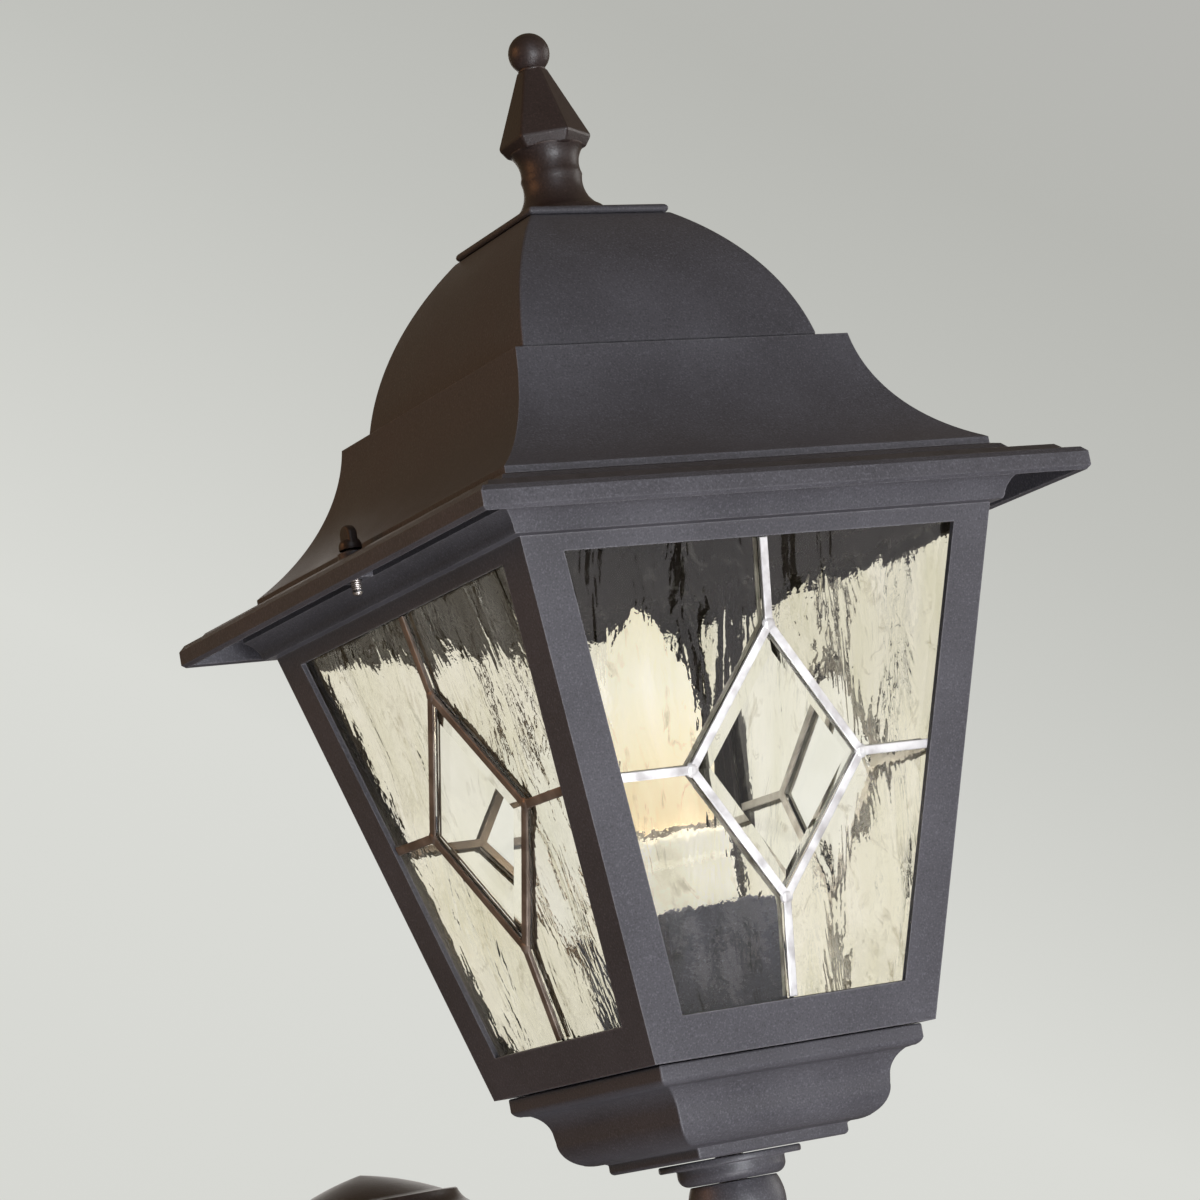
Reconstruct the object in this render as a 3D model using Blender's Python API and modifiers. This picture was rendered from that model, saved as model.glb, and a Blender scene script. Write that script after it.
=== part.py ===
"""Street lamp post: a square tapered lantern with leaded glass on a side arm, a round two-stage post,
and a square plinth with an access door. Metres, +Z up, the origin under the middle of the base flange.
The post stands on the origin, and the arm carries the lantern towards -Y."""

import math

import bmesh
import bpy
from mathutils import Matrix, Vector

# ---------------------------------------------------------------- overall sizes
EAVE_Z = 2.015            # top of the lantern's fascia above the ground
ARM_REACH = 0.289         # post axis to lantern axis
GAP = 0.0003              # between pieces that touch

# ---------------------------------------------------------------- lantern frame
FRAME_TOP_HALF = 0.0942   # half the frame's width under the cornice
FRAME_FOOT_HALF = 0.0568  # half the frame's width at its foot
FRAME_HEIGHT = 0.1716     # foot to cornice
FRAME_WALL = 0.006
FLOOR_THICK = 0.004
CORNICE_DROP = 0.0109     # cornice's lower edge under the fascia's top
CORNICE_REACH = 0.0083    # cornice beyond the frame
CORNICE_LIP = 0.0033
STILE = 0.0148            # frame's edge to the window opening
SILL_RAIL = 0.0147        # frame's foot to the opening, up the slope
HEAD_RAIL = 0.0058        # opening to the cornice, up the slope
LIP_THICK = 0.002         # the lip that the glass lies against
REBATE = 0.004            # how far the glass runs under the lip

# ---------------------------------------------------------------- leaded glass
GLASS_THICK = 0.003
DIAMOND_HALF_WIDTH = 0.034
DIAMOND_HALF_HEIGHT = 0.0458
DIAMOND_RISE = 0.0945     # its middle above the frame's foot, up the slope
DIAMOND_CROWN = 0.0014    # bevelled glass beyond the panes
DIAMOND_BEVEL = 0.0045
CAME_WIDTH = 0.0032
CAME_HEART = 0.0012
LEAF_THICK = 0.0009

# ---------------------------------------------------------------- roof
EAVE_OVERHANG = 0.0261    # fascia beyond the frame's top
FASCIA_HEIGHT = 0.0071
FASCIA_THICK = 0.0033
EAVE_LEDGE = 0.0233       # fascia to the foot of the skirt
SKIRT_HEIGHT = 0.0590
SKIRT_FLARE = 0.0294      # how far the skirt runs in, foot to shoulder
SKIRT_BOW = 0.109
SHOULDER = 0.0076         # skirt to the foot of the dome
DOME_HEIGHT = 0.0560
DOME_INSET = 0.0311       # how far the dome runs in, foot to crown
DOME_BOW = 0.083
CASTING_WALL = 0.003
CROWN_THICK = 0.004
REGISTER_DROP = 0.004     # the roof's locating rim, inside the frame
CAP_PLATE_THICK = 0.003

# ---------------------------------------------------------------- finial
STUD_RADIUS = 0.004
FINIAL_FOOT_RADIUS = 0.0168
FINIAL_WAIST_RADIUS = 0.0113
FINIAL_WAIST_RISE = 0.019
SPIRE_RADIUS = 0.0172     # to the corners of the hexagon
SPIRE_RISE = 0.0326       # widest corners above the plate
SPIRE_HEIGHT = 0.0275
SPIRE_TIP_RADIUS = 0.0056
BALL_RADIUS = 0.0076

# ---------------------------------------------------------------- roof screws
SCREW_INSET = 0.0143      # fascia to the screw's axis
SCREW_RADIUS = 0.002
LUG_RADIUS = 0.0065
LUG_THICK = 0.003
SPADE_HEIGHT = 0.010
SPADE_WIDTH = 0.0076

# ---------------------------------------------------------------- lantern base and neck
BASE_STEP = 0.0035        # frame's foot to the base's top fillet
BASE_HEIGHT = 0.0284
BASE_WALL = 0.003
SEAT_PLATE_HALF = 0.0308
SEAT_PLATE_THICK = 0.0042
DISC_RADIUS = 0.0252
DISC_THICK = 0.0024
COLLAR_RADIUS = 0.019
COLLAR_HEIGHT = 0.006
NECK_RADIUS = 0.0152
NECK_LENGTH = 0.0375
NIPPLE_RADIUS = 0.005
NIPPLE_BORE = 0.0034

# ---------------------------------------------------------------- lamp
PEDESTAL_HALF = 0.024
PEDESTAL_HEIGHT = 0.048
PEDESTAL_WALL = 0.0025
HOLDER_RADIUS = 0.0205
HOLDER_HEIGHT = 0.027
LAMP_CAP_RADIUS = 0.0132
LAMP_CAP_LENGTH = 0.023
BULB_RADIUS = 0.019
BULB_LENGTH = 0.080

# ---------------------------------------------------------------- arm and scroll
ARM_RADIUS = 0.014
ARM_WALL = 0.0025
BEND_RADIUS = 0.100
ARM_RISE = 0.115          # arm's level run to the underside of the neck
SPIGOT_LENGTH = 0.016
SLEEVE_WALL = 0.008
SLEEVE_HEIGHT = 0.070
BOSS_RADIUS = 0.0195
BOSS_REACH = 0.040        # boss beyond the shaft
SOCKET_DEPTH = 0.028
SCROLL_DROP = 0.235       # scroll's foot under the arm
SCROLL_THICK = 0.007
SCROLL_WIDTH = 0.020
SCROLL_EYE_START = 0.030
SCROLL_EYE_END = 0.007

# ---------------------------------------------------------------- post
SHAFT_RADIUS = 0.038
SHAFT_WALL = 0.0035
LOWER_FOOT_EXTRA = 0.017  # lower shaft's radius beyond the upper one's
LOWER_TOP_EXTRA = 0.012
LOWER_LENGTH = 0.500
SOCKET_OVERLAP = 0.060
FLUTES = 12
FLUTE_RADIUS = 0.0062
FLUTE_DEPTH = 0.0028
RING_HEIGHT = 0.046
CAP_DROP = 0.197          # crown of the post cap under the fascia's top
CAP_HEIGHT = 0.038
CAP_RADIUS_EXTRA = 0.0085

# ---------------------------------------------------------------- plinth and flange
FLANGE_HALF = 0.140
FLANGE_THICK = 0.012
ANCHOR_SPACING_HALF = 0.117
ANCHOR_RADIUS = 0.006
PLINTH_FOOT_HALF = 0.100
PLINTH_HALF = 0.085
PLINTH_WALL = 0.005
PLINTH_HEIGHT = 0.418
PLINTH_TOP_HALF = 0.072
SPIGOT_RISE = 0.025
SPIGOT_WALL = 0.005

# ---------------------------------------------------------------- door
DOOR_WIDTH = 0.110
DOOR_HEIGHT = 0.200
DOOR_THICK = 0.003
DOOR_LIP = 0.007
DOOR_FOOT_Z = 0.115
HINGE_OUT = 0.003         # hinge axis in front of the plinth's face
HINGE_SIDE = 0.004        # hinge axis beside the door's edge
KNUCKLE_RADIUS = 0.004
KNUCKLE_LENGTH = 0.028
PIN_RADIUS = 0.0018
LOCK_RADIUS = 0.006
LOCK_INSET = 0.013        # door's edge to the lock's axis
CAM_LENGTH = 0.015

# ---------------------------------------------------------------- fuse unit
FUSE_HALF_WIDTH = 0.030
FUSE_HEIGHT = 0.090
FUSE_DEPTH = 0.045
FUSE_Z = 0.170
CARRIER_HALF_WIDTH = 0.012
CARRIER_HEIGHT = 0.038
CARRIER_DEPTH = 0.030

# ---------------------------------------------------------------- worked-out places
EAVE_HALF = FRAME_TOP_HALF + EAVE_OVERHANG
SKIRT_FOOT_HALF = EAVE_HALF - EAVE_LEDGE
SKIRT_TOP_HALF = SKIRT_FOOT_HALF - SKIRT_FLARE
DOME_FOOT_HALF = SKIRT_TOP_HALF - SHOULDER
DOME_TOP_HALF = DOME_FOOT_HALF - DOME_INSET
SOFFIT_Z = 0.0005
SKIRT_FOOT_Z = 0.0126
SHOULDER_FALL = 0.0018
SKIRT_TOP_Z = SKIRT_FOOT_Z + SKIRT_HEIGHT - SKIRT_FOOT_Z + SHOULDER_FALL
DOME_FOOT_Z = SKIRT_TOP_Z + GAP
DOME_TOP_Z = DOME_FOOT_Z + DOME_HEIGHT
PLATE_Z = DOME_TOP_Z + GAP
PLATE_TOP_Z = PLATE_Z + CAP_PLATE_THICK
FRAME_TOP_Z = SOFFIT_Z - GAP
FRAME_FOOT_Z = -CORNICE_DROP - FRAME_HEIGHT
FLOOR_Z = FRAME_FOOT_Z + FLOOR_THICK
TAPER = math.atan((FRAME_TOP_HALF - FRAME_FOOT_HALF) / FRAME_HEIGHT)
SLOPE_LENGTH = FRAME_HEIGHT / math.cos(TAPER)
BASE_TOP_Z = FRAME_FOOT_Z - GAP
BASE_FOOT_Z = BASE_TOP_Z - BASE_HEIGHT - SEAT_PLATE_THICK
COLLAR_Z = BASE_FOOT_Z - GAP
NECK_TOP_Z = COLLAR_Z - DISC_THICK - COLLAR_HEIGHT - GAP
NECK_FOOT_Z = NECK_TOP_Z - NECK_LENGTH
SCREW_X = EAVE_HALF - SCREW_INSET
ARM_Z = EAVE_Z + NECK_FOOT_Z - ARM_RISE
PLINTH_Z = FLANGE_THICK + GAP
PLINTH_TOP_Z = PLINTH_Z + PLINTH_HEIGHT
LOWER_Z = PLINTH_TOP_Z + GAP
LOWER_TOP_Z = LOWER_Z + LOWER_LENGTH
UPPER_Z = LOWER_TOP_Z - SOCKET_OVERLAP
CAP_TOP_Z = EAVE_Z - CAP_DROP
CAP_CROWN = 0.024
UPPER_TOP_Z = CAP_TOP_Z - CAP_CROWN - GAP
RING_Z = LOWER_TOP_Z + GAP

LANTERN = Matrix.Translation((0, -ARM_REACH, EAVE_Z))
ROUND = 24
SMALL_ROUND = 16


# ================================================================ helpers
def clear_scene():
    for obj in list(bpy.data.objects):
        bpy.data.objects.remove(obj, do_unlink=True)


clear_scene()
PARTS = bpy.data.collections.new("street_lamp_post")
CUTTERS = bpy.data.collections.new("cutters")
for collection in (PARTS, CUTTERS):
    bpy.context.scene.collection.children.link(collection)
CUTTERS.hide_render = True


def finish(name, colour, roughness, metallic):
    material = bpy.data.materials.new(name)
    material.use_nodes = True
    shader = material.node_tree.nodes["Principled BSDF"]
    shader.inputs["Base Color"].default_value = (*colour, 1)
    shader.inputs["Roughness"].default_value = roughness
    shader.inputs["Metallic"].default_value = metallic
    material.diffuse_color = (*colour, 1)
    return material


POWDER_COAT = (0.075, 0.068, 0.078)
BRONZE_PAINT = (0.045, 0.030, 0.026)
BRIGHT_STEEL = (0.62, 0.60, 0.57)
LEAD = (0.55, 0.54, 0.52)
WATER_GLASS = (0.80, 0.76, 0.60)
CLEAR_GLASS = (0.86, 0.87, 0.82)


def place(name, data, colour, roughness=0.5, metallic=0.0, at=Matrix.Identity(4)):
    """Puts a mesh or a curve in the scene as a finished part."""
    obj = bpy.data.objects.new(name, data)
    obj.matrix_world = at
    PARTS.objects.link(obj)
    data.materials.append(finish(name + "_finish", colour, roughness, metallic))
    return obj


def helper(name, data, at=Matrix.Identity(4)):
    """A shape that cuts or joins a part, and isn't one itself."""
    obj = bpy.data.objects.new(name, data)
    obj.matrix_world = at
    obj.hide_render = True
    obj.display_type = "WIRE"
    CUTTERS.objects.link(obj)
    return obj


def boolean(obj, other, operation):
    modifier = obj.modifiers.new(operation.lower() + "_" + other.name, "BOOLEAN")
    modifier.operation = operation
    modifier.object = other
    modifier.solver = "EXACT"


def cut(obj, *others):
    for other in others:
        boolean(obj, other, "DIFFERENCE")


def weld(obj, *others):
    for other in others:
        boolean(obj, other, "UNION")


def screw(obj, steps, smooth):
    modifier = obj.modifiers.new("turn", "SCREW")
    modifier.axis = "Z"
    modifier.steps = steps
    modifier.render_steps = steps
    modifier.use_merge_vertices = True
    modifier.merge_threshold = 0.00001
    modifier.use_smooth_shade = smooth


def profile_mesh(name, points, closed):
    mesh = bpy.data.meshes.new(name)
    edges = [(i, i + 1) for i in range(len(points) - 1)]
    if closed:
        edges.append((len(points) - 1, 0))
    mesh.from_pydata([(r, 0, z) for r, z in points], edges, [])
    return mesh


def turned(name, points, colour, roughness=0.5, metallic=0.0, closed=False, steps=ROUND, at=LANTERN):
    """A round piece: the profile of (radius, z) points runs down its outer side."""
    obj = place(name, profile_mesh(name, points, closed), colour, roughness, metallic, at)
    screw(obj, steps, True)
    return obj


def squared(name, points, colour, roughness=0.5, metallic=0.0, closed=False, at=LANTERN):
    """A square piece with mitred corners: the profile's points are (half width, z)."""
    corners = [(half * math.sqrt(2), z) for half, z in points]
    turn = Matrix.Rotation(math.pi / 4, 4, "Z")
    obj = place(name, profile_mesh(name, corners, closed), colour, roughness, metallic, at @ turn)
    screw(obj, 4, False)
    return obj


def bow(start, end, bulge, count):
    """Points of an arc. Its middle stands off the chord by bulge times the chord, outwards if positive."""
    start, end = Vector(start), Vector(end)
    chord = end - start
    length = chord.length
    along = chord / length
    out = Vector((-along.y, along.x))
    rise = bulge * length
    radius = (length * length / 4 + rise * rise) / (2 * rise)
    half_angle = 2 * math.atan(2 * bulge)
    middle = (start + end) / 2
    points = []
    for i in range(count + 1):
        angle = half_angle * (2 * i / count - 1)
        place_on_arc = middle + out * (radius * math.cos(angle) - radius + rise)
        points.append(tuple(place_on_arc + along * (radius * math.sin(angle))))
    return points


def box_mesh(name, low, high):
    mesh = bpy.data.meshes.new(name)
    shape = bmesh.new()
    bmesh.ops.create_cube(shape, size=1)
    size = [high[i] - low[i] for i in range(3)]
    middle = [(high[i] + low[i]) / 2 for i in range(3)]
    bmesh.ops.scale(shape, vec=size, verts=shape.verts)
    bmesh.ops.translate(shape, vec=middle, verts=shape.verts)
    shape.to_mesh(mesh)
    shape.free()
    return mesh


def rod_mesh(name, radius, low, high, sides=SMALL_ROUND, top_radius=None):
    """A cylinder or a cone along Z."""
    mesh = bpy.data.meshes.new(name)
    shape = bmesh.new()
    bmesh.ops.create_cone(
        shape,
        cap_ends=True,
        segments=sides,
        radius1=radius,
        radius2=radius if top_radius is None else top_radius,
        depth=high - low,
        matrix=Matrix.Translation((0, 0, (low + high) / 2)),
    )
    shape.to_mesh(mesh)
    shape.free()
    return mesh


def outline_curve(name, outlines, thickness):
    """A flat piece in X and Y, centred on Z: the first outline is its edge, the rest are holes."""
    curve = bpy.data.curves.new(name, "CURVE")
    curve.dimensions = "2D"
    curve.fill_mode = "BOTH"
    curve.extrude = thickness / 2
    for outline in outlines:
        spline = curve.splines.new("POLY")
        spline.points.add(len(outline) - 1)
        for point, (x, y) in zip(spline.points, outline):
            point.co = (x, y, 0, 1)
        spline.use_cyclic_u = True
    return curve


def tube_curve(name, points, radius, resolution=4):
    curve = bpy.data.curves.new(name, "CURVE")
    curve.dimensions = "3D"
    curve.bevel_depth = radius
    curve.bevel_resolution = resolution
    curve.use_fill_caps = True
    spline = curve.splines.new("POLY")
    spline.points.add(len(points) - 1)
    for point, co in zip(spline.points, points):
        point.co = (*co, 1)
    return curve


def curve_to_mesh(curve):
    """The mesh of a curve, with its caps joined to its sides."""
    obj = bpy.data.objects.new(curve.name, curve)
    CUTTERS.objects.link(obj)
    bpy.context.view_layer.update()
    evaluated = obj.evaluated_get(bpy.context.evaluated_depsgraph_get())
    mesh = bpy.data.meshes.new_from_object(evaluated)
    mesh.name = curve.name
    shape = bmesh.new()
    shape.from_mesh(mesh)
    bmesh.ops.remove_doubles(shape, verts=shape.verts, dist=0.000001)
    shape.to_mesh(mesh)
    shape.free()
    bpy.data.objects.remove(obj, do_unlink=True)
    return mesh


def flat_mesh(name, outlines, thickness):
    return curve_to_mesh(outline_curve(name, outlines, thickness))


def lying(axis_point, direction):
    """A matrix that lays the Z axis along the direction through the point."""
    turn = Vector((0, 0, 1)).rotation_difference(Vector(direction)).to_matrix().to_4x4()
    return Matrix.Translation(axis_point) @ turn


# ================================================================ roof
def skirt_curve(wall, count):
    """The flared side of the roof, from its shoulder down to its foot, set in by a wall."""
    top = (SKIRT_TOP_HALF - wall, SKIRT_HEIGHT)
    foot = (SKIRT_FOOT_HALF - 0.001 - wall, SKIRT_FOOT_Z)
    return bow(top, foot, -SKIRT_BOW, count)


def make_roof_skirt():
    fascia_foot_z = -FASCIA_HEIGHT
    outside = [
        (DOME_FOOT_HALF - CASTING_WALL - 0.0035, SKIRT_TOP_Z),
        (DOME_FOOT_HALF + 0.0005, SKIRT_TOP_Z),
    ]
    outside += skirt_curve(0, 14)
    outside += [
        (SKIRT_FOOT_HALF, SKIRT_FOOT_Z - 0.0008),
        (SKIRT_FOOT_HALF, SKIRT_FOOT_Z - 0.0032),
        (SKIRT_FOOT_HALF + 0.0027, SKIRT_FOOT_Z - 0.0041),
        (SKIRT_FOOT_HALF + 0.0042, SKIRT_FOOT_Z - 0.0059),
        (EAVE_HALF - 0.0079, 0.0041),
        (EAVE_HALF - 0.0061, 0.0023),
        (EAVE_HALF - 0.0017, 0.0012),
        (EAVE_HALF, -0.0008),
        (EAVE_HALF, fascia_foot_z + 0.0013),
        (EAVE_HALF - 0.0013, fascia_foot_z),
        (EAVE_HALF - FASCIA_THICK, fascia_foot_z + 0.0006),
        (EAVE_HALF - FASCIA_THICK - 0.0005, SOFFIT_Z),
    ]
    register = FRAME_TOP_HALF - FRAME_WALL - 0.0008
    inside = [
        (register, SOFFIT_Z),
        (register, SOFFIT_Z - REGISTER_DROP),
        (register - CASTING_WALL, SOFFIT_Z - REGISTER_DROP),
        (register - CASTING_WALL, SKIRT_FOOT_Z + 0.004),
    ]
    inside += reversed(skirt_curve(CASTING_WALL + 0.0004, 8)[:-1])
    inside[-1] = (SKIRT_TOP_HALF - CASTING_WALL - 0.0004, SKIRT_TOP_Z - CASTING_WALL)
    inside.append((DOME_FOOT_HALF - CASTING_WALL - 0.0035, SKIRT_TOP_Z - CASTING_WALL))
    skirt = squared("roof_skirt", outside + inside, POWDER_COAT, closed=True)
    for side in (-1, 1):
        at = LANTERN @ Matrix.Translation((side * SCREW_X, 0, 0))
        weld(skirt, helper("screw_seat_pad", rod_mesh("screw_seat_pad", 0.0048, 0.0020, 0.0070), at))
        hole = rod_mesh("roof_screw_hole", SCREW_RADIUS + GAP, -0.005, 0.012)
        cut(skirt, helper("roof_screw_hole", hole, at))


def make_roof_dome():
    outside = [(0, DOME_TOP_Z), (DOME_TOP_HALF, DOME_TOP_Z)]
    outside += bow((DOME_TOP_HALF, DOME_TOP_Z), (DOME_FOOT_HALF, DOME_FOOT_Z), DOME_BOW, 14)[1:]
    inner_top = (DOME_TOP_HALF - 0.001, DOME_TOP_Z - CROWN_THICK)
    inner_foot = (DOME_FOOT_HALF - CASTING_WALL, DOME_FOOT_Z)
    inside = list(reversed(bow(inner_top, inner_foot, DOME_BOW, 10)))
    inside.append((0, DOME_TOP_Z - CROWN_THICK))
    dome = squared("roof_dome", outside + inside, POWDER_COAT)
    hole = rod_mesh("dome_stud_hole", STUD_RADIUS + GAP, DOME_TOP_Z - 0.010, DOME_TOP_Z + 0.010)
    cut(dome, helper("dome_stud_hole", hole, LANTERN))


def make_roof_cap_plate():
    points = [
        (0, PLATE_TOP_Z),
        (DOME_TOP_HALF - 0.001, PLATE_TOP_Z),
        (DOME_TOP_HALF, PLATE_TOP_Z - 0.001),
        (DOME_TOP_HALF, PLATE_Z + 0.0006),
        (DOME_TOP_HALF - 0.0006, PLATE_Z),
        (0, PLATE_Z),
    ]
    plate = squared("roof_cap_plate", points, POWDER_COAT)
    hole = rod_mesh("plate_stud_hole", STUD_RADIUS + GAP, PLATE_Z - 0.005, PLATE_TOP_Z + 0.005)
    cut(plate, helper("plate_stud_hole", hole, LANTERN))


def make_finial():
    foot_z = PLATE_TOP_Z + GAP
    corner_z = PLATE_TOP_Z + SPIRE_RISE
    waist_z = PLATE_TOP_Z + FINIAL_WAIST_RISE
    tip_z = corner_z + SPIRE_HEIGHT
    stud_foot_z = DOME_TOP_Z - CROWN_THICK - 0.011
    neck_radius = SPIRE_RADIUS * 0.80
    points = [(0, corner_z - 0.001), (neck_radius, corner_z - 0.001)]
    points += bow((neck_radius, corner_z - 0.001), (FINIAL_WAIST_RADIUS, waist_z), -0.12, 3)[1:]
    points += bow((FINIAL_WAIST_RADIUS, waist_z), (FINIAL_FOOT_RADIUS, foot_z + 0.005), -0.16, 4)[1:]
    points += [
        (FINIAL_FOOT_RADIUS + 0.0007, foot_z + 0.0035),
        (FINIAL_FOOT_RADIUS + 0.0004, foot_z),
        (STUD_RADIUS, foot_z),
        (STUD_RADIUS, stud_foot_z),
        (0, stud_foot_z),
    ]
    finial = turned("finial", points, BRONZE_PAINT, 0.35, 0.3)
    spire = [
        (0, tip_z),
        (SPIRE_TIP_RADIUS, tip_z),
        (SPIRE_RADIUS, corner_z),
        (SPIRE_RADIUS * 0.84, corner_z - 0.004),
        (0, corner_z - 0.004),
    ]
    six_sided = helper("finial_spire", profile_mesh("finial_spire", spire, False))
    six_sided.matrix_world = LANTERN @ Matrix.Rotation(math.radians(30), 4, "Z")
    screw(six_sided, 6, False)
    ball = bpy.data.meshes.new("finial_ball")
    shape = bmesh.new()
    bmesh.ops.create_uvsphere(shape, u_segments=16, v_segments=8, radius=BALL_RADIUS)
    shape.to_mesh(ball)
    shape.free()
    ball_at = LANTERN @ Matrix.Translation((0, 0, tip_z + BALL_RADIUS * 0.86))
    weld(finial, six_sided, helper("finial_ball", ball, ball_at))


def hexagon_nut(name, radius, bore, low, height, colour, roughness, metallic):
    nut = place(name, rod_mesh(name, radius, low, low + height, 6), colour, roughness, metallic, LANTERN)
    cut(nut, helper(name + "_bore", rod_mesh(name + "_bore", bore, low - 0.002, low + height + 0.002), LANTERN))


def make_finial_nut():
    low = DOME_TOP_Z - CROWN_THICK - GAP - 0.0065
    hexagon_nut("finial_nut", 0.0075, STUD_RADIUS + GAP, low, 0.0065, BRIGHT_STEEL, 0.35, 1.0)


def make_thumbscrew(side_name, side):
    """A spade-headed screw that passes the eave and threads into the frame's lug."""
    seat_z = 0.0070 + GAP
    tip_z = FRAME_TOP_Z - LUG_THICK - 0.005
    head_z = seat_z + 0.0042
    points = [
        (0, head_z),
        (0.0033, head_z),
        (0.0040, head_z - 0.0008),
        (0.0040, seat_z),
        (SCREW_RADIUS, seat_z),
        (SCREW_RADIUS, tip_z + 0.001),
        (SCREW_RADIUS * 0.6, tip_z),
        (0, tip_z),
    ]
    at = LANTERN @ Matrix.Translation((side * SCREW_X, 0, 0))
    name = "thumbscrew_" + side_name
    body = turned(name, points, BRONZE_PAINT, 0.5, 0.2, steps=16, at=at)
    half = SPADE_WIDTH / 2
    crown_z = seat_z + SPADE_HEIGHT
    spade = [(-half, seat_z + 0.002), (half, seat_z + 0.002), (half, crown_z - 0.003)]
    spade += [(half * 0.55, crown_z - 0.0004), (-half * 0.55, crown_z - 0.0004), (-half, crown_z - 0.003)]
    upright = Matrix.Rotation(math.pi / 2, 4, "Z") @ Matrix.Rotation(math.pi / 2, 4, "X")
    weld(body, helper(name + "_spade", flat_mesh(name + "_spade", [spade], 0.0034), at @ upright))


# ================================================================ lantern frame and its glass
def face_at(face):
    """The plane of one side of the frame: X across it, Y up its slope, Z out of it."""
    turn = Matrix.Rotation(face * math.pi / 2, 4, "Z")
    foot = Matrix.Translation((0, -FRAME_FOOT_HALF, FRAME_FOOT_Z))
    lean = Matrix.Rotation(math.pi / 2 + TAPER, 4, "X")
    return LANTERN @ turn @ foot @ lean


def side_half(rise):
    """Half the frame's width at a height up its slope."""
    return FRAME_FOOT_HALF + rise * math.sin(TAPER)


def opening(margin):
    """The window's outline, larger by a margin all round."""
    low = SILL_RAIL - margin
    high = SLOPE_LENGTH - HEAD_RAIL + margin
    low_half = side_half(low) - STILE + margin
    high_half = side_half(high) - STILE + margin
    return [(-low_half, low), (low_half, low), (high_half, high), (-high_half, high)]


def make_lantern_frame():
    cornice = FRAME_TOP_HALF + CORNICE_REACH
    wall_top_z = FRAME_TOP_Z
    inner_foot = FRAME_FOOT_HALF + FLOOR_THICK * math.tan(TAPER) - FRAME_WALL
    points = [
        (0, FLOOR_Z),
        (inner_foot, FLOOR_Z),
        (FRAME_TOP_HALF - FRAME_WALL, -CORNICE_DROP),
        (FRAME_TOP_HALF - FRAME_WALL, wall_top_z),
        (cornice, wall_top_z),
        (cornice, wall_top_z - 0.0016),
        (cornice - 0.0010, wall_top_z - 0.0056),
        (cornice - 0.0027, wall_top_z - 0.0077),
        (FRAME_TOP_HALF + CORNICE_LIP + 0.0004, wall_top_z - 0.0101),
        (FRAME_TOP_HALF + CORNICE_LIP, -CORNICE_DROP + 0.0003),
        (FRAME_TOP_HALF, -CORNICE_DROP),
        (FRAME_FOOT_HALF, FRAME_FOOT_Z),
        (0, FRAME_FOOT_Z),
    ]
    frame = squared("lantern_frame", points, POWDER_COAT)
    aperture = flat_mesh("window_aperture", [opening(0)], 0.010)
    rebate = flat_mesh("window_rebate", [opening(REBATE + GAP)], 0.012)
    for face in range(4):
        cut(frame, helper("window_aperture", aperture, face_at(face)))
        behind = face_at(face) @ Matrix.Translation((0, 0, -LIP_THICK - 0.006))
        cut(frame, helper("window_rebate", rebate, behind))
    for side in (-1, 1):
        at = LANTERN @ Matrix.Translation((side * SCREW_X, 0, 0))
        low_z = wall_top_z - LUG_THICK
        lug = rod_mesh("roof_lug", LUG_RADIUS, low_z, wall_top_z)
        inner = FRAME_TOP_HALF + 0.001 - SCREW_X
        ends = sorted((side * inner, 0))
        root = box_mesh("roof_lug_root", (ends[0], -LUG_RADIUS, low_z), (ends[1], LUG_RADIUS, wall_top_z))
        weld(frame, helper("roof_lug", lug, at), helper("roof_lug_root", root, at))
        hole = rod_mesh("lug_hole", SCREW_RADIUS + GAP, low_z - 0.003, wall_top_z + 0.003)
        cut(frame, helper("lug_hole", hole, at))
    hole = rod_mesh("floor_hole", NIPPLE_RADIUS + GAP, FRAME_FOOT_Z - 0.003, FLOOR_Z + 0.003)
    cut(frame, helper("floor_hole", hole, LANTERN))


def diamond_side():
    """The middle of the diamond to one of its sides."""
    return DIAMOND_HALF_WIDTH * DIAMOND_HALF_HEIGHT / math.hypot(DIAMOND_HALF_WIDTH, DIAMOND_HALF_HEIGHT)


def diamond(offset):
    """Half the width and half the height of the diamond with its sides moved out by an offset."""
    scale = 1 + offset / diamond_side()
    return DIAMOND_HALF_WIDTH * scale, DIAMOND_HALF_HEIGHT * scale


def came_outlines(half, short):
    """The lead lattice, half its bar's width on each side of its lines, and the diamond inside it."""
    low = SILL_RAIL + GAP + short
    high = SLOPE_LENGTH - HEAD_RAIL - GAP - short
    width, height = diamond(half)
    rise = height * (1 - half / width)
    run = width * (1 - half / height)
    middle = DIAMOND_RISE
    right = [
        (half, low),
        (half, middle - rise),
        (run, middle - half),
        (side_half(middle - half) - STILE - GAP - short, middle - half),
        (side_half(middle + half) - STILE - GAP - short, middle + half),
        (run, middle + half),
        (half, middle + rise),
        (half, high),
    ]
    left = [(-x, y) for x, y in reversed(right)]
    inner_width, inner_height = diamond(-half)
    hole = [(inner_width, middle), (0, middle + inner_height), (-inner_width, middle), (0, middle - inner_height)]
    return [right + left, hole]


def make_came(face, lattice):
    place("lead_came_" + str(face + 1), lattice, LEAD, 0.4, 0.8, face_at(face))


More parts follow.
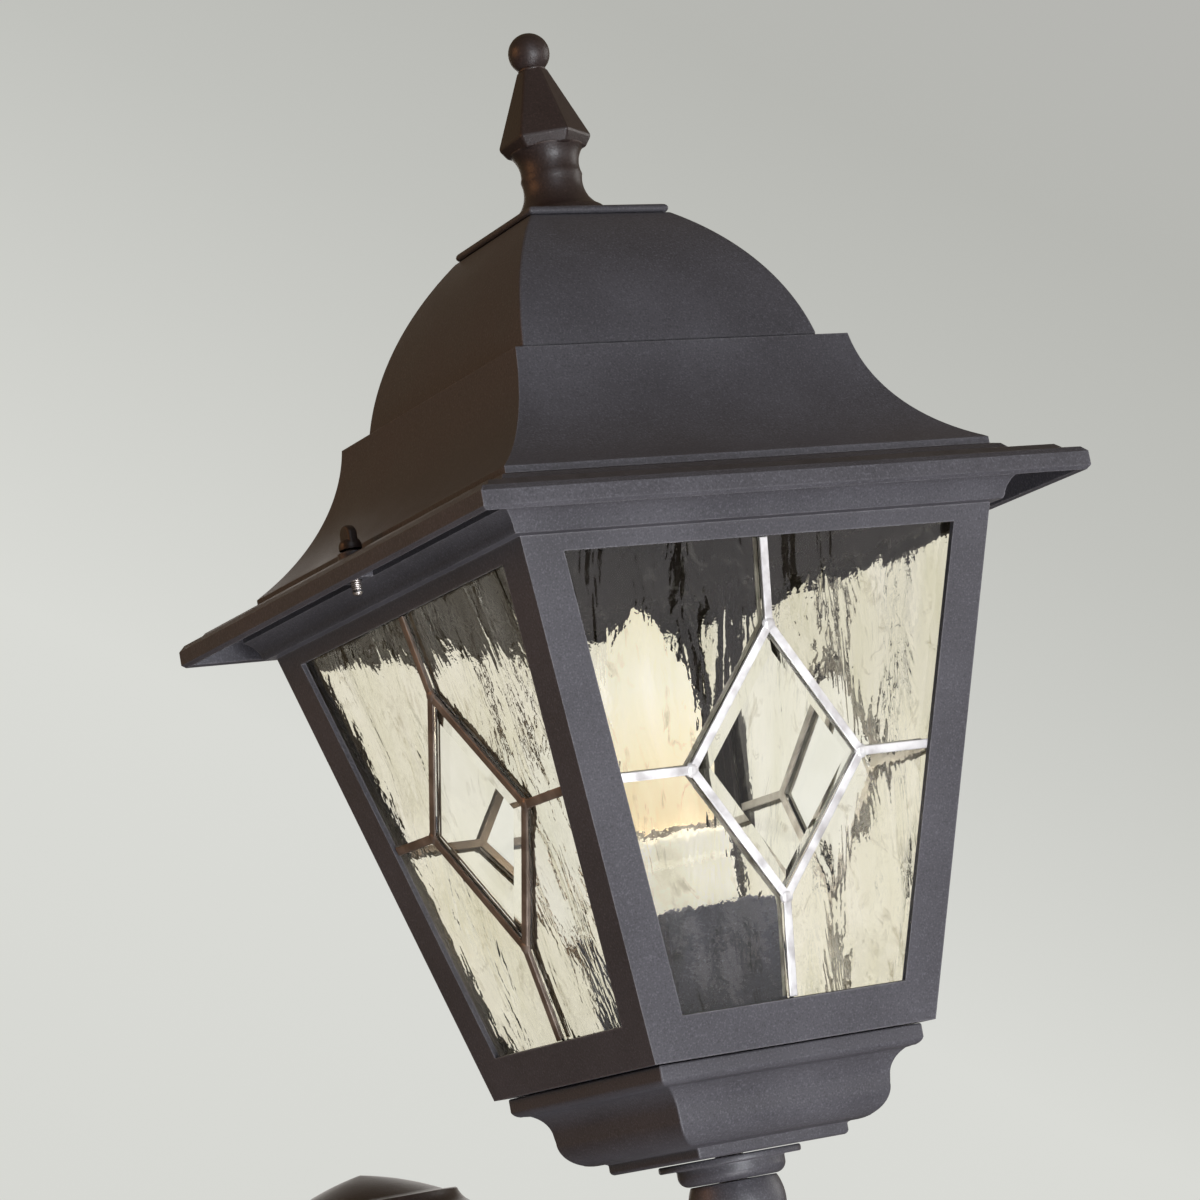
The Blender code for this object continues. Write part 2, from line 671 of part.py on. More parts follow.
def came_lattice():
    """The H-section lattice of lead: a leaf on each side of the glass and a heart between the panes."""
    glass_front = -LIP_THICK - GAP
    glass_back = glass_front - GLASS_THICK
    heart = flat_mesh("came_heart", came_outlines(CAME_HEART / 2, 0.0004), GLASS_THICK + 2 * GAP + LEAF_THICK)
    leaf = flat_mesh("came_leaf", came_outlines(CAME_WIDTH / 2, 0), LEAF_THICK)
    body = helper("came_pattern", heart)
    body.matrix_world = Matrix.Translation((0, 0, (glass_front + glass_back) / 2))
    front = Matrix.Translation((0, 0, glass_front + GAP + LEAF_THICK / 2))
    back = Matrix.Translation((0, 0, glass_back - GAP - LEAF_THICK / 2))
    weld(body, helper("came_leaf_front", leaf, front), helper("came_leaf_back", leaf, back))
    bpy.context.view_layer.update()
    evaluated = body.evaluated_get(bpy.context.evaluated_depsgraph_get())
    mesh = bpy.data.meshes.new_from_object(evaluated)
    mesh.name = "came_lattice"
    mesh.transform(body.matrix_world)
    return mesh


def corner_pane(across, up):
    """One of the four panes round the diamond: across and up are -1 or 1."""
    edge = CAME_HEART / 2 + GAP
    width, height = diamond(edge)
    rise = height * (1 - edge / width)
    run = width * (1 - edge / height)
    end = opening(REBATE)[2][1] if up > 0 else opening(REBATE)[0][1]
    middle = DIAMOND_RISE + up * edge
    reach = REBATE - STILE
    points = [
        (edge, end),
        (side_half(end) + reach, end),
        (side_half(middle) + reach, middle),
        (run, middle),
        (edge, DIAMOND_RISE + up * rise),
    ]
    return [(across * x, y) for x, y in points]


def diamond_mesh():
    """The bevelled diamond: a flat plate whose front edges slope down to the lead."""
    width, height = diamond(-CAME_HEART / 2 - GAP)
    inner_width = diamond(-CAME_HEART / 2 - GAP - DIAMOND_BEVEL)[0]
    profile = [
        (0, DIAMOND_CROWN),
        (inner_width, DIAMOND_CROWN),
        (width, 0),
        (width, -GLASS_THICK),
        (0, -GLASS_THICK),
    ]
    mesh = profile_mesh("bevelled_diamond", profile, False)
    obj = helper("bevelled_diamond_pattern", mesh)
    screw(obj, 4, False)
    bpy.context.view_layer.update()
    evaluated = obj.evaluated_get(bpy.context.evaluated_depsgraph_get())
    turned_mesh = bpy.data.meshes.new_from_object(evaluated)
    turned_mesh.name = "bevelled_diamond"
    turned_mesh.transform(Matrix.Diagonal((1, height / width, 1, 1)))
    return turned_mesh


def make_glazing():
    glass_front = -LIP_THICK - GAP
    lattice = came_lattice()
    jewel = diamond_mesh()
    corners = {"lower_left": (-1, -1), "lower_right": (1, -1), "upper_right": (1, 1), "upper_left": (-1, 1)}
    for face in range(4):
        number = str(face + 1)
        make_came(face, lattice.copy())
        at = face_at(face) @ Matrix.Translation((0, DIAMOND_RISE, glass_front))
        place("diamond_glass_" + number, jewel.copy(), CLEAR_GLASS, 0.05, 0, at)
        at = face_at(face) @ Matrix.Translation((0, 0, glass_front - GLASS_THICK / 2))
        for corner, (across, up) in corners.items():
            name = "water_glass_" + corner + "_" + number
            pane = outline_curve(name, [corner_pane(across, up)], GLASS_THICK)
            place(name, pane, WATER_GLASS, 0.1, 0, at)


# ================================================================ lantern base, neck and lamp
def make_base_moulding():
    top = FRAME_FOOT_HALF - BASE_STEP
    fillet_z = BASE_TOP_Z - 0.0047
    ledge = top - 0.0048
    waist = top - 0.0099
    plate_z = BASE_TOP_Z - BASE_HEIGHT
    points = [(0, plate_z + 0.002), (waist - BASE_WALL - 0.009, plate_z + 0.002)]
    points += [(waist - BASE_WALL, plate_z + 0.011), (waist - BASE_WALL, BASE_TOP_Z - 0.012)]
    points += [(top - BASE_WALL, BASE_TOP_Z - 0.004), (top - BASE_WALL, BASE_TOP_Z), (top, BASE_TOP_Z)]
    points += bow((top, fillet_z), (ledge + 0.0014, fillet_z - 0.0023), 0.18, 3)
    points += bow((ledge, fillet_z - 0.0026), (waist, BASE_TOP_Z - 0.0157), -0.125, 5)
    points += [(waist - 0.0003, BASE_TOP_Z - 0.0180)]
    points += bow((waist - 0.0003, BASE_TOP_Z - 0.0180), (waist - 0.0100, plate_z), 0.20, 6)[1:]
    points += [
        (SEAT_PLATE_HALF, plate_z),
        (SEAT_PLATE_HALF, BASE_FOOT_Z + 0.0014),
        (SEAT_PLATE_HALF - 0.0014, BASE_FOOT_Z),
        (0, BASE_FOOT_Z),
    ]
    base = squared("base_moulding", points, POWDER_COAT)
    hole = rod_mesh("base_hole", NIPPLE_RADIUS + GAP, BASE_FOOT_Z - 0.003, plate_z + 0.006)
    cut(base, helper("base_hole", hole, LANTERN))


def make_neck_collar():
    bore = NIPPLE_RADIUS + GAP
    step_z = COLLAR_Z - DISC_THICK
    foot_z = step_z - COLLAR_HEIGHT
    points = [(bore, COLLAR_Z), (DISC_RADIUS, COLLAR_Z)]
    points += [(DISC_RADIUS, step_z), (COLLAR_RADIUS, step_z)]
    points += bow((COLLAR_RADIUS, step_z - 0.0025), (COLLAR_RADIUS - 0.0035, foot_z), 0.18, 3)
    points.append((bore, foot_z))
    turned("neck_collar", points, POWDER_COAT, closed=True)


def make_lamp_neck():
    bore = NIPPLE_RADIUS + GAP
    spigot = ARM_RADIUS - ARM_WALL - 2 * GAP
    waist = NECK_RADIUS * 0.72
    foot = ARM_RADIUS + 0.0045
    bulge_z = NECK_TOP_Z - NECK_LENGTH * 0.48
    waist_z = NECK_TOP_Z - NECK_LENGTH * 0.70
    points = [(bore, NECK_TOP_Z)]
    points += bow((NECK_RADIUS, NECK_TOP_Z), (NECK_RADIUS * 0.93, bulge_z), 0.13, 4)
    points += bow((NECK_RADIUS * 0.93, bulge_z), (waist, waist_z), -0.14, 3)[1:]
    points += bow((waist, waist_z), (foot - 0.0012, NECK_FOOT_Z + 0.0045), -0.16, 3)[1:]
    points += bow((foot, NECK_FOOT_Z + 0.0035), (foot - 0.0004, NECK_FOOT_Z), 0.12, 2)
    points += [(spigot, NECK_FOOT_Z), (spigot, NECK_FOOT_Z - SPIGOT_LENGTH), (bore, NECK_FOOT_Z - SPIGOT_LENGTH)]
    turned("lamp_neck", points, POWDER_COAT, closed=True)


def make_threaded_nipple():
    top = FLOOR_Z + 0.009
    foot = NECK_TOP_Z - 0.020
    points = [(NIPPLE_BORE, top), (NIPPLE_RADIUS, top), (NIPPLE_RADIUS, foot), (NIPPLE_BORE, foot)]
    turned("threaded_nipple", points, BRIGHT_STEEL, 0.35, 1.0, closed=True, steps=SMALL_ROUND)
    hexagon_nut("nipple_locknut", 0.0095, NIPPLE_RADIUS + GAP, FLOOR_Z + GAP, 0.005, BRIGHT_STEEL, 0.35, 1.0)


def make_lamp():
    """Pedestal, lampholder, its centre contact, and the lamp's cap and glass."""
    foot_z = FLOOR_Z + GAP
    top_z = foot_z + PEDESTAL_HEIGHT
    half = PEDESTAL_HALF
    inner = half - PEDESTAL_WALL
    block = box_mesh("lampholder_pedestal", (-half, -half, foot_z), (half, half, top_z))
    pedestal = place("lampholder_pedestal", block, (0.03, 0.033, 0.05), 0.5, 0, LANTERN)
    hollow = box_mesh("pedestal_hollow", (-inner, -inner, foot_z - 0.01), (inner, inner, top_z - PEDESTAL_WALL))
    wires = rod_mesh("pedestal_wire_hole", 0.005, top_z - 0.01, top_z + 0.01)
    cut(pedestal, helper("pedestal_hollow", hollow, LANTERN), helper("pedestal_wire_hole", wires, LANTERN))

    seat_z = top_z + GAP
    rim_z = seat_z + HOLDER_HEIGHT
    bore = LAMP_CAP_RADIUS + 0.0006
    points = [
        (0, seat_z + 0.003),
        (bore, seat_z + 0.003),
        (bore, rim_z),
        (HOLDER_RADIUS - 0.003, rim_z),
        (HOLDER_RADIUS - 0.001, rim_z - 0.0015),
        (HOLDER_RADIUS, rim_z - 0.006),
        (HOLDER_RADIUS, seat_z),
        (0, seat_z),
    ]
    turned("lampholder", points, (0.85, 0.84, 0.80), 0.3)

    cap_z = seat_z + 0.0065
    points = [(0, cap_z - GAP), (0.006, cap_z - GAP), (0.006, seat_z + 0.003 + GAP), (0, seat_z + 0.003 + GAP)]
    turned("lampholder_contact", points, (0.75, 0.58, 0.25), 0.35, 1.0, steps=16)

    cap_top_z = cap_z + LAMP_CAP_LENGTH
    points = [
        (0, cap_top_z),
        (LAMP_CAP_RADIUS, cap_top_z),
        (LAMP_CAP_RADIUS, cap_z + 0.004),
        (0.005, cap_z),
        (0, cap_z),
    ]
    turned("bulb_cap", points, BRIGHT_STEEL, 0.3, 1.0)

    glass_z = cap_top_z + GAP
    shoulder_z = glass_z + BULB_LENGTH * 0.42
    tip_z = glass_z + BULB_LENGTH
    points = bow((0, tip_z), (BULB_RADIUS, shoulder_z), 0.11, 6)
    points += bow((BULB_RADIUS, shoulder_z), (LAMP_CAP_RADIUS - 0.0008, glass_z), 0.08, 3)[1:]
    points.append((0, glass_z))
    turned("bulb_glass", points, (1.0, 0.88, 0.62), 0.2, steps=16)


# ================================================================ arm and scroll
def arm_route():
    """The arm's centre line: level from the post's boss, then a quarter bend up to the neck."""
    start = -(SHAFT_RADIUS + BOSS_REACH - SOCKET_DEPTH + GAP)
    bend_start = -(ARM_REACH - BEND_RADIUS)
    points = [(0, start, ARM_Z)]
    for i in range(10):
        angle = math.pi / 2 * i / 9
        y = bend_start - BEND_RADIUS * math.sin(angle)
        points.append((0, y, ARM_Z + BEND_RADIUS * (1 - math.cos(angle))))
    points.append((0, -ARM_REACH, EAVE_Z + NECK_FOOT_Z - GAP))
    return points


def make_bracket_arm():
    route = arm_route()
    arm = place("bracket_arm", curve_to_mesh(tube_curve("bracket_arm", route, ARM_RADIUS, 8)), POWDER_COAT)
    first, last = Vector(route[0]), Vector(route[-1])
    longer = [first + Vector((0, 0.004, 0))] + route[1:-1] + [last + Vector((0, 0, 0.004))]
    bore = curve_to_mesh(tube_curve("arm_bore", longer, ARM_RADIUS - ARM_WALL, 8))
    cut(arm, helper("arm_bore", bore))


def make_arm_sleeve():
    """The sleeve on the post with the boss that the arm plugs into."""
    half = SLEEVE_HEIGHT / 2
    outer = SHAFT_RADIUS + SLEEVE_WALL
    at = Matrix.Translation((0, 0, ARM_Z))
    points = [(0, half), (outer - 0.004, half)]
    points += bow((outer - 0.001, half - 0.002), (outer - 0.001, half - 0.010), 0.25, 3)
    points += [(outer - 0.002, half - 0.012), (outer - 0.002, -half + 0.012)]
    points += bow((outer - 0.001, -half + 0.010), (outer - 0.001, -half + 0.002), 0.25, 3)
    points += [(outer - 0.004, -half), (0, -half)]
    sleeve = turned("arm_sleeve", points, POWDER_COAT, steps=28, at=at)
    inside = SHAFT_RADIUS + GAP
    reach = SHAFT_RADIUS + BOSS_REACH
    forward = lying((0, 0, ARM_Z), (0, -1, 0))
    boss = helper("arm_boss", rod_mesh("arm_boss", BOSS_RADIUS, SHAFT_RADIUS * 0.5, reach - 0.004, 26), forward)
    bead = rod_mesh("arm_boss_bead", BOSS_RADIUS + 0.0022, reach - 0.010, reach, 26)
    weld(sleeve, boss, helper("arm_boss_bead", bead, forward))
    bore = rod_mesh("sleeve_bore", inside, -half - 0.005, half + 0.005, 30)
    socket = rod_mesh("arm_socket", ARM_RADIUS + GAP, reach - SOCKET_DEPTH, reach + 0.005, 26)
    wires = rod_mesh("sleeve_wire_hole", 0.008, 0.02, reach - SOCKET_DEPTH + 0.003, 14)
    cut(sleeve, helper("sleeve_bore", bore, at), helper("arm_socket", socket, forward))
    cut(sleeve, helper("sleeve_wire_hole", wires, forward))


def curl(start, heading, turn, steps):
    """A spiral that goes on from a point and a heading, tighter and tighter. turn is -1 or 1."""
    y, z = start
    points = []
    angle_step = math.radians(500) / steps
    for i in range(steps):
        share = i / steps
        radius = SCROLL_EYE_START * (SCROLL_EYE_END / SCROLL_EYE_START) ** share
        heading += turn * angle_step / 2
        y += radius * angle_step * math.cos(heading)
        z += radius * angle_step * math.sin(heading)
        heading += turn * angle_step / 2
        points.append((y, z))
    return points


def scroll_line():
    """The scroll's centre line in the Y-Z plane, from the eye under the arm to the eye at the post."""
    half = SCROLL_THICK / 2
    foot_y = -(SHAFT_RADIUS + GAP + half)
    foot_z = ARM_Z - SCROLL_DROP
    top_z = ARM_Z - ARM_RADIUS - GAP - half
    run = ARM_REACH - BEND_RADIUS + foot_y - 0.004
    rise = top_z - foot_z
    middle = []
    for i in range(13):
        angle = math.pi / 2 * i / 12
        middle.append((foot_y - run * (1 - math.cos(angle)), foot_z + rise * math.sin(angle)))
    upper = curl(middle[-1], math.pi, 1, 24)
    lower = curl(middle[0], -math.pi / 2, -1, 24)
    return list(reversed(lower)) + middle + upper


def ribbon(line, half):
    """The outline of a strip of the given half width along a line."""
    left, right = [], []
    for i, point in enumerate(line):
        before = Vector(line[max(i - 1, 0)])
        after = Vector(line[min(i + 1, len(line) - 1)])
        along = (after - before).normalized()
        out = Vector((-along.y, along.x)) * half
        left.append(tuple(Vector(point) + out))
        right.append(tuple(Vector(point) - out))
    return left + right[::-1]


def make_bracket_scroll():
    strip = flat_mesh("bracket_scroll", [ribbon(scroll_line(), SCROLL_THICK / 2)], SCROLL_WIDTH)
    upright = Matrix(((0, 0, 1, 0), (1, 0, 0, 0), (0, 1, 0, 0), (0, 0, 0, 1)))
    place("bracket_scroll", strip, BRONZE_PAINT, 0.5, 0, upright)


# ================================================================ post
def make_shaft_upper():
    inner = SHAFT_RADIUS - SHAFT_WALL
    points = [(inner, UPPER_TOP_Z), (SHAFT_RADIUS, UPPER_TOP_Z), (SHAFT_RADIUS, UPPER_Z), (inner, UPPER_Z)]
    shaft = turned("shaft_upper", points, POWDER_COAT, closed=True, at=Matrix.Identity(4))
    forward = lying((0, 0, ARM_Z), (0, -1, 0))
    wires = rod_mesh("shaft_wire_hole", 0.008, SHAFT_RADIUS * 0.5, SHAFT_RADIUS * 1.2, 16)
    cut(shaft, helper("shaft_wire_hole", wires, forward))


def make_shaft_lower():
    foot = SHAFT_RADIUS + LOWER_FOOT_EXTRA
    top = SHAFT_RADIUS + LOWER_TOP_EXTRA
    bore = SHAFT_RADIUS + GAP
    step = SHAFT_RADIUS - SHAFT_WALL
    step_z = UPPER_Z - GAP
    spigot_z = PLINTH_TOP_Z + SPIGOT_RISE + GAP
    points = [(bore, LOWER_TOP_Z), (top, LOWER_TOP_Z), (top, LOWER_TOP_Z - 0.012), (foot, LOWER_Z + 0.040)]
    points += bow((foot, LOWER_Z + 0.040), (foot + 0.007, LOWER_Z + 0.022), -0.2, 3)[1:]
    points += bow((foot + 0.007, LOWER_Z + 0.020), (foot + 0.007, LOWER_Z), 0.3, 4)
    points += [(bore, LOWER_Z), (bore, spigot_z), (step, spigot_z), (step, step_z), (bore, step_z)]
    shaft = turned("shaft_lower", points, POWDER_COAT, closed=True, at=Matrix.Identity(4))
    flute_low, flute_high = LOWER_Z + 0.075, LOWER_TOP_Z - 0.035
    share = 1 / (LOWER_LENGTH - 0.052)
    low_radius = foot - (foot - top) * (flute_low - LOWER_Z - 0.040) * share
    high_radius = foot - (foot - top) * (flute_high - LOWER_Z - 0.040) * share
    out = FLUTE_RADIUS - FLUTE_DEPTH
    shape = bmesh.new()
    for i in range(FLUTES):
        turn = Matrix.Rotation(2 * math.pi * (i + 0.5) / FLUTES, 3, "Z")
        low = turn @ Vector((low_radius + out, 0, flute_low))
        high = turn @ Vector((high_radius + out, 0, flute_high))
        at = lying((low + high) / 2, (high - low).normalized())
        depth = (high - low).length
        bmesh.ops.create_cone(
            shape, cap_ends=True, segments=8, radius1=FLUTE_RADIUS, radius2=FLUTE_RADIUS, depth=depth, matrix=at
        )
    flutes = bpy.data.meshes.new("flutes")
    shape.to_mesh(flutes)
    shape.free()
    cut(shaft, helper("flutes", flutes))


def make_shaft_ring():
    bore = SHAFT_RADIUS + GAP
    wide = SHAFT_RADIUS + LOWER_TOP_EXTRA
    top_z = RING_Z + RING_HEIGHT
    points = [(bore, top_z), (SHAFT_RADIUS + 0.004, top_z)]
    points += bow((SHAFT_RADIUS + 0.005, top_z - 0.004), (wide - 0.001, top_z - 0.020), -0.15, 3)
    points += bow((wide, top_z - 0.021), (wide, RING_Z + 0.008), 0.35, 5)
    points += [(wide + 0.001, RING_Z + 0.007), (wide + 0.001, RING_Z), (bore, RING_Z)]
    turned("shaft_ring", points, BRONZE_PAINT, closed=True, at=Matrix.Identity(4))


def make_post_cap():
    """A low domed cap with a ledge, whose skirt hangs over the top of the shaft."""
    edge = SHAFT_RADIUS + CAP_RADIUS_EXTRA
    under_z = CAP_TOP_Z - CAP_CROWN
    foot_z = CAP_TOP_Z - CAP_HEIGHT
    points = bow((0, CAP_TOP_Z), (SHAFT_RADIUS - 0.005, CAP_TOP_Z - 0.0112), 0.035, 5)
    points += [(SHAFT_RADIUS + 0.0006, CAP_TOP_Z - 0.0115)]
    points += bow((SHAFT_RADIUS + 0.0010, CAP_TOP_Z - 0.0120), (edge - 0.001, CAP_TOP_Z - 0.0190), -0.12, 3)
    points += bow((edge - 0.0006, CAP_TOP_Z - 0.0195), (edge - 0.003, foot_z), 0.14, 3)
    points += [(SHAFT_RADIUS + GAP, foot_z), (SHAFT_RADIUS + GAP, under_z), (0, under_z)]
    turned("post_cap", points, BRONZE_PAINT, at=Matrix.Identity(4))


# ================================================================ plinth, flange and anchors
def make_base_flange():
    plate = box_mesh("base_flange", (-FLANGE_HALF, -FLANGE_HALF, 0), (FLANGE_HALF, FLANGE_HALF, FLANGE_THICK))
    flange = place("base_flange", plate, POWDER_COAT, 0.55)
    for x in (-1, 1):
        for y in (-1, 1):
            hole = rod_mesh("anchor_hole", ANCHOR_RADIUS + 0.001, -0.01, FLANGE_THICK + 0.01, 16)
            at = Matrix.Translation((x * ANCHOR_SPACING_HALF, y * ANCHOR_SPACING_HALF, 0))
            cut(flange, helper("anchor_hole", hole, at))
    entry = rod_mesh("cable_entry", 0.021, -0.01, FLANGE_THICK + 0.01)
    cut(flange, helper("cable_entry", entry, Matrix.Translation((0, 0.045, 0))))
    edges = flange.modifiers.new("edges", "BEVEL")
    edges.width = 0.0015
    edges.segments = 1
    edges.limit_method = "ANGLE"
    flange.modifiers.move(len(flange.modifiers) - 1, 0)


def make_anchor_bolt(number, x, y):
    """A washer, a hexagon head and a shank that fills the flange's hole."""
    name = "anchor_bolt_" + str(number)
    seat_z = FLANGE_THICK + GAP
    at = Matrix.Translation((x * ANCHOR_SPACING_HALF, y * ANCHOR_SPACING_HALF, 0))
    points = [
        (0, seat_z + 0.0165),
        (ANCHOR_RADIUS - 0.001, seat_z + 0.0165),
        (ANCHOR_RADIUS, seat_z + 0.0155),
        (ANCHOR_RADIUS, seat_z + 0.0025),
        (0.012, seat_z + 0.0025),
        (0.012, seat_z),
        (ANCHOR_RADIUS, seat_z),
        (ANCHOR_RADIUS, 0.001),
        (0, 0.001),
    ]
    bolt = turned(name, points, BRIGHT_STEEL, 0.4, 1.0, steps=16, at=at)
    weld(bolt, helper(name + "_nut", rod_mesh(name + "_nut", 0.0108, seat_z + 0.002, seat_z + 0.0125, 6), at))


def make_plinth():
    wall = PLINTH_WALL
    face_low_z = PLINTH_Z + 0.055
    face_high_z = PLINTH_TOP_Z - 0.075
    top_inner_z = PLINTH_TOP_Z - 0.006
    spigot = SHAFT_RADIUS
    outside = [
        (0, PLINTH_TOP_Z),
        (PLINTH_TOP_HALF, PLINTH_TOP_Z),
        (PLINTH_TOP_HALF, PLINTH_TOP_Z - 0.006),
    ]
    outside += bow((PLINTH_TOP_HALF, PLINTH_TOP_Z - 0.008), (PLINTH_HALF + 0.006, PLINTH_TOP_Z - 0.046), -0.16, 6)
    outside += [(PLINTH_HALF + 0.007, PLINTH_TOP_Z - 0.050), (PLINTH_HALF + 0.007, PLINTH_TOP_Z - 0.062)]
    outside += bow((PLINTH_HALF + 0.006, PLINTH_TOP_Z - 0.064), (PLINTH_HALF, face_high_z), -0.2, 3)
    outside.append((PLINTH_HALF, face_low_z))
    outside += bow((PLINTH_HALF, face_low_z), (PLINTH_FOOT_HALF - 0.004, PLINTH_Z + 0.034), -0.2, 5)[1:]
    outside += [(PLINTH_FOOT_HALF, PLINTH_Z + 0.032), (PLINTH_FOOT_HALF, PLINTH_Z)]
    inside = [
        (PLINTH_HALF - wall, PLINTH_Z),
        (PLINTH_HALF - wall, PLINTH_TOP_Z - 0.048),
        (PLINTH_TOP_HALF - wall, top_inner_z - 0.002),
        (0, top_inner_z),
    ]
    plinth = squared("plinth", outside + inside, POWDER_COAT, at=Matrix.Identity(4))
    ring = rod_mesh("plinth_spigot", spigot, top_inner_z + 0.001, PLINTH_TOP_Z + SPIGOT_RISE, ROUND)
    weld(plinth, helper("plinth_spigot", ring))
    bore = rod_mesh("plinth_bore", spigot - SPIGOT_WALL, top_inner_z - 0.02, PLINTH_TOP_Z + SPIGOT_RISE + 0.01, ROUND)
    cut(plinth, helper("plinth_bore", bore))

    half = DOOR_WIDTH / 2
    top_z = DOOR_FOOT_Z + DOOR_HEIGHT
    face = -PLINTH_HALF
    low = (-half - GAP, face - 0.01, DOOR_FOOT_Z - GAP)
    recess = box_mesh("door_recess", low, (half + GAP, face + DOOR_THICK + GAP, top_z + GAP))
    low = (-half + DOOR_LIP, face - 0.01, DOOR_FOOT_Z + DOOR_LIP)
    doorway = box_mesh("doorway", low, (half - DOOR_LIP, face + 0.02, top_z - DOOR_LIP))
    cut(plinth, helper("door_recess", recess), helper("doorway", doorway))

    hinge = Matrix.Translation((-half - HINGE_SIDE, face - HINGE_OUT, 0))
    for index, low_z in enumerate(knuckle_levels()):
        door_groove = rod_mesh("knuckle_groove", KNUCKLE_RADIUS + 0.0005, low_z - GAP, low_z + KNUCKLE_LENGTH + GAP)
        cut(plinth, helper("knuckle_groove", door_groove, hinge))
        low_end = low_z + KNUCKLE_LENGTH + GAP
        high_end = low_end + KNUCKLE_LENGTH * 0.7
        knuckle = rod_mesh("plinth_knuckle", KNUCKLE_RADIUS, low_end, high_end)
        pin_bore = rod_mesh("plinth_pin_bore", PIN_RADIUS + GAP, low_end - 0.001, high_end + 0.001, 16)
        weld(plinth, helper("plinth_knuckle", knuckle, hinge))
        cut(plinth, helper("plinth_pin_bore", pin_bore, hinge))


def knuckle_levels():
    """The lower ends of the door's two knuckles."""
    return DOOR_FOOT_Z + 0.022, DOOR_FOOT_Z + DOOR_HEIGHT - 0.022 - KNUCKLE_LENGTH * 1.7


def make_access_door():
    """The door, with its origin on the hinge's axis."""
    half = DOOR_WIDTH / 2
    pivot = Vector((-half - HINGE_SIDE, -PLINTH_HALF - HINGE_OUT, DOOR_FOOT_Z))
    at = Matrix.Translation(pivot)
    panel = box_mesh("access_door", (HINGE_SIDE, HINGE_OUT, 0), (HINGE_SIDE + DOOR_WIDTH, HINGE_OUT + DOOR_THICK, DOOR_HEIGHT))
    door = place("access_door", panel, POWDER_COAT, at=at)
    for low in knuckle_levels():
        low -= DOOR_FOOT_Z
        high = low + KNUCKLE_LENGTH
        strap = box_mesh("door_strap", (0, -0.0015, low), (0.018, HINGE_OUT - GAP, high))
        root = box_mesh("door_strap_root", (HINGE_SIDE + 0.001, 0, low + 0.001), (0.017, HINGE_OUT + 0.001, high - 0.001))
        knuckle = rod_mesh("door_knuckle", KNUCKLE_RADIUS, low, high)
        bore = rod_mesh("door_pin_bore", PIN_RADIUS + GAP, low - 0.001, high + 0.001, 16)
        weld(door, helper("door_strap", strap, at), helper("door_strap_root", root, at))
        weld(door, helper("door_knuckle", knuckle, at))
        cut(door, helper("door_pin_bore", bore, at))
    lock_at = lying(pivot + Vector((HINGE_SIDE + DOOR_WIDTH - LOCK_INSET, 0, DOOR_HEIGHT / 2)), (0, 1, 0))
    hole = rod_mesh("lock_hole", LOCK_RADIUS + GAP, -0.01, 0.02)
    cut(door, helper("lock_hole", hole, lock_at))


def make_hinge_pin():
    half = DOOR_WIDTH / 2
    low, high = knuckle_levels()
    low_z = low - 0.002
    high_z = high + KNUCKLE_LENGTH * 1.7 + 0.002
    at = Matrix.Translation((-half - HINGE_SIDE, -PLINTH_HALF - HINGE_OUT, 0))
    points = [
        (0, high_z + 0.0015),
        (PIN_RADIUS + 0.0012, high_z + 0.0015),
        (PIN_RADIUS + 0.0012, high_z + GAP - 0.0015),
        (PIN_RADIUS, high_z + GAP - 0.0015),
        (PIN_RADIUS, low_z),
        (0, low_z),
    ]
    turned("door_hinge_pin", points, BRIGHT_STEEL, 0.35, 1.0, steps=16, at=at)


def make_door_lock():
    """A quarter-turn lock with a three-sided keyway: its cam stands upright, and turns behind the plinth's lip."""
    half = DOOR_WIDTH / 2
    axis = Vector((half - LOCK_INSET, -PLINTH_HALF, DOOR_FOOT_Z + DOOR_HEIGHT / 2))
    at = lying(axis, (0, -1, 0))
    head_low = GAP
    head_high = 0.0022
    cam_front = -PLINTH_WALL - GAP
    points = [
        (0, head_high),
        (LOCK_RADIUS + 0.0012, head_high),
        (LOCK_RADIUS + 0.0022, head_high - 0.0008),
        (LOCK_RADIUS + 0.0022, head_low),
        (LOCK_RADIUS, head_low),
        (LOCK_RADIUS, cam_front - 0.001),
        (0, cam_front - 0.001),
    ]
    lock = turned("door_lock", points, BRIGHT_STEEL, 0.35, 1.0, steps=20, at=at)
    cam = box_mesh("lock_cam", (-0.004, -0.0045, cam_front - 0.0025), (0.004, CAM_LENGTH, cam_front))
    upright = at @ Matrix.Rotation(cam_turn(at), 4, "Z")
    weld(lock, helper("lock_cam", cam, upright))
    keyway = rod_mesh("lock_keyway", 0.0042, head_high - 0.0025, head_high + 0.002, 3)
    cut(lock, helper("lock_keyway", keyway, at))


def cam_turn(at):
    """The turn about the lock's axis that stands the cam's length upright."""
    side = at.to_3x3() @ Vector((1, 0, 0))
    upward = at.to_3x3() @ Vector((0, 1, 0))
    return math.atan2(-side.z, upward.z)


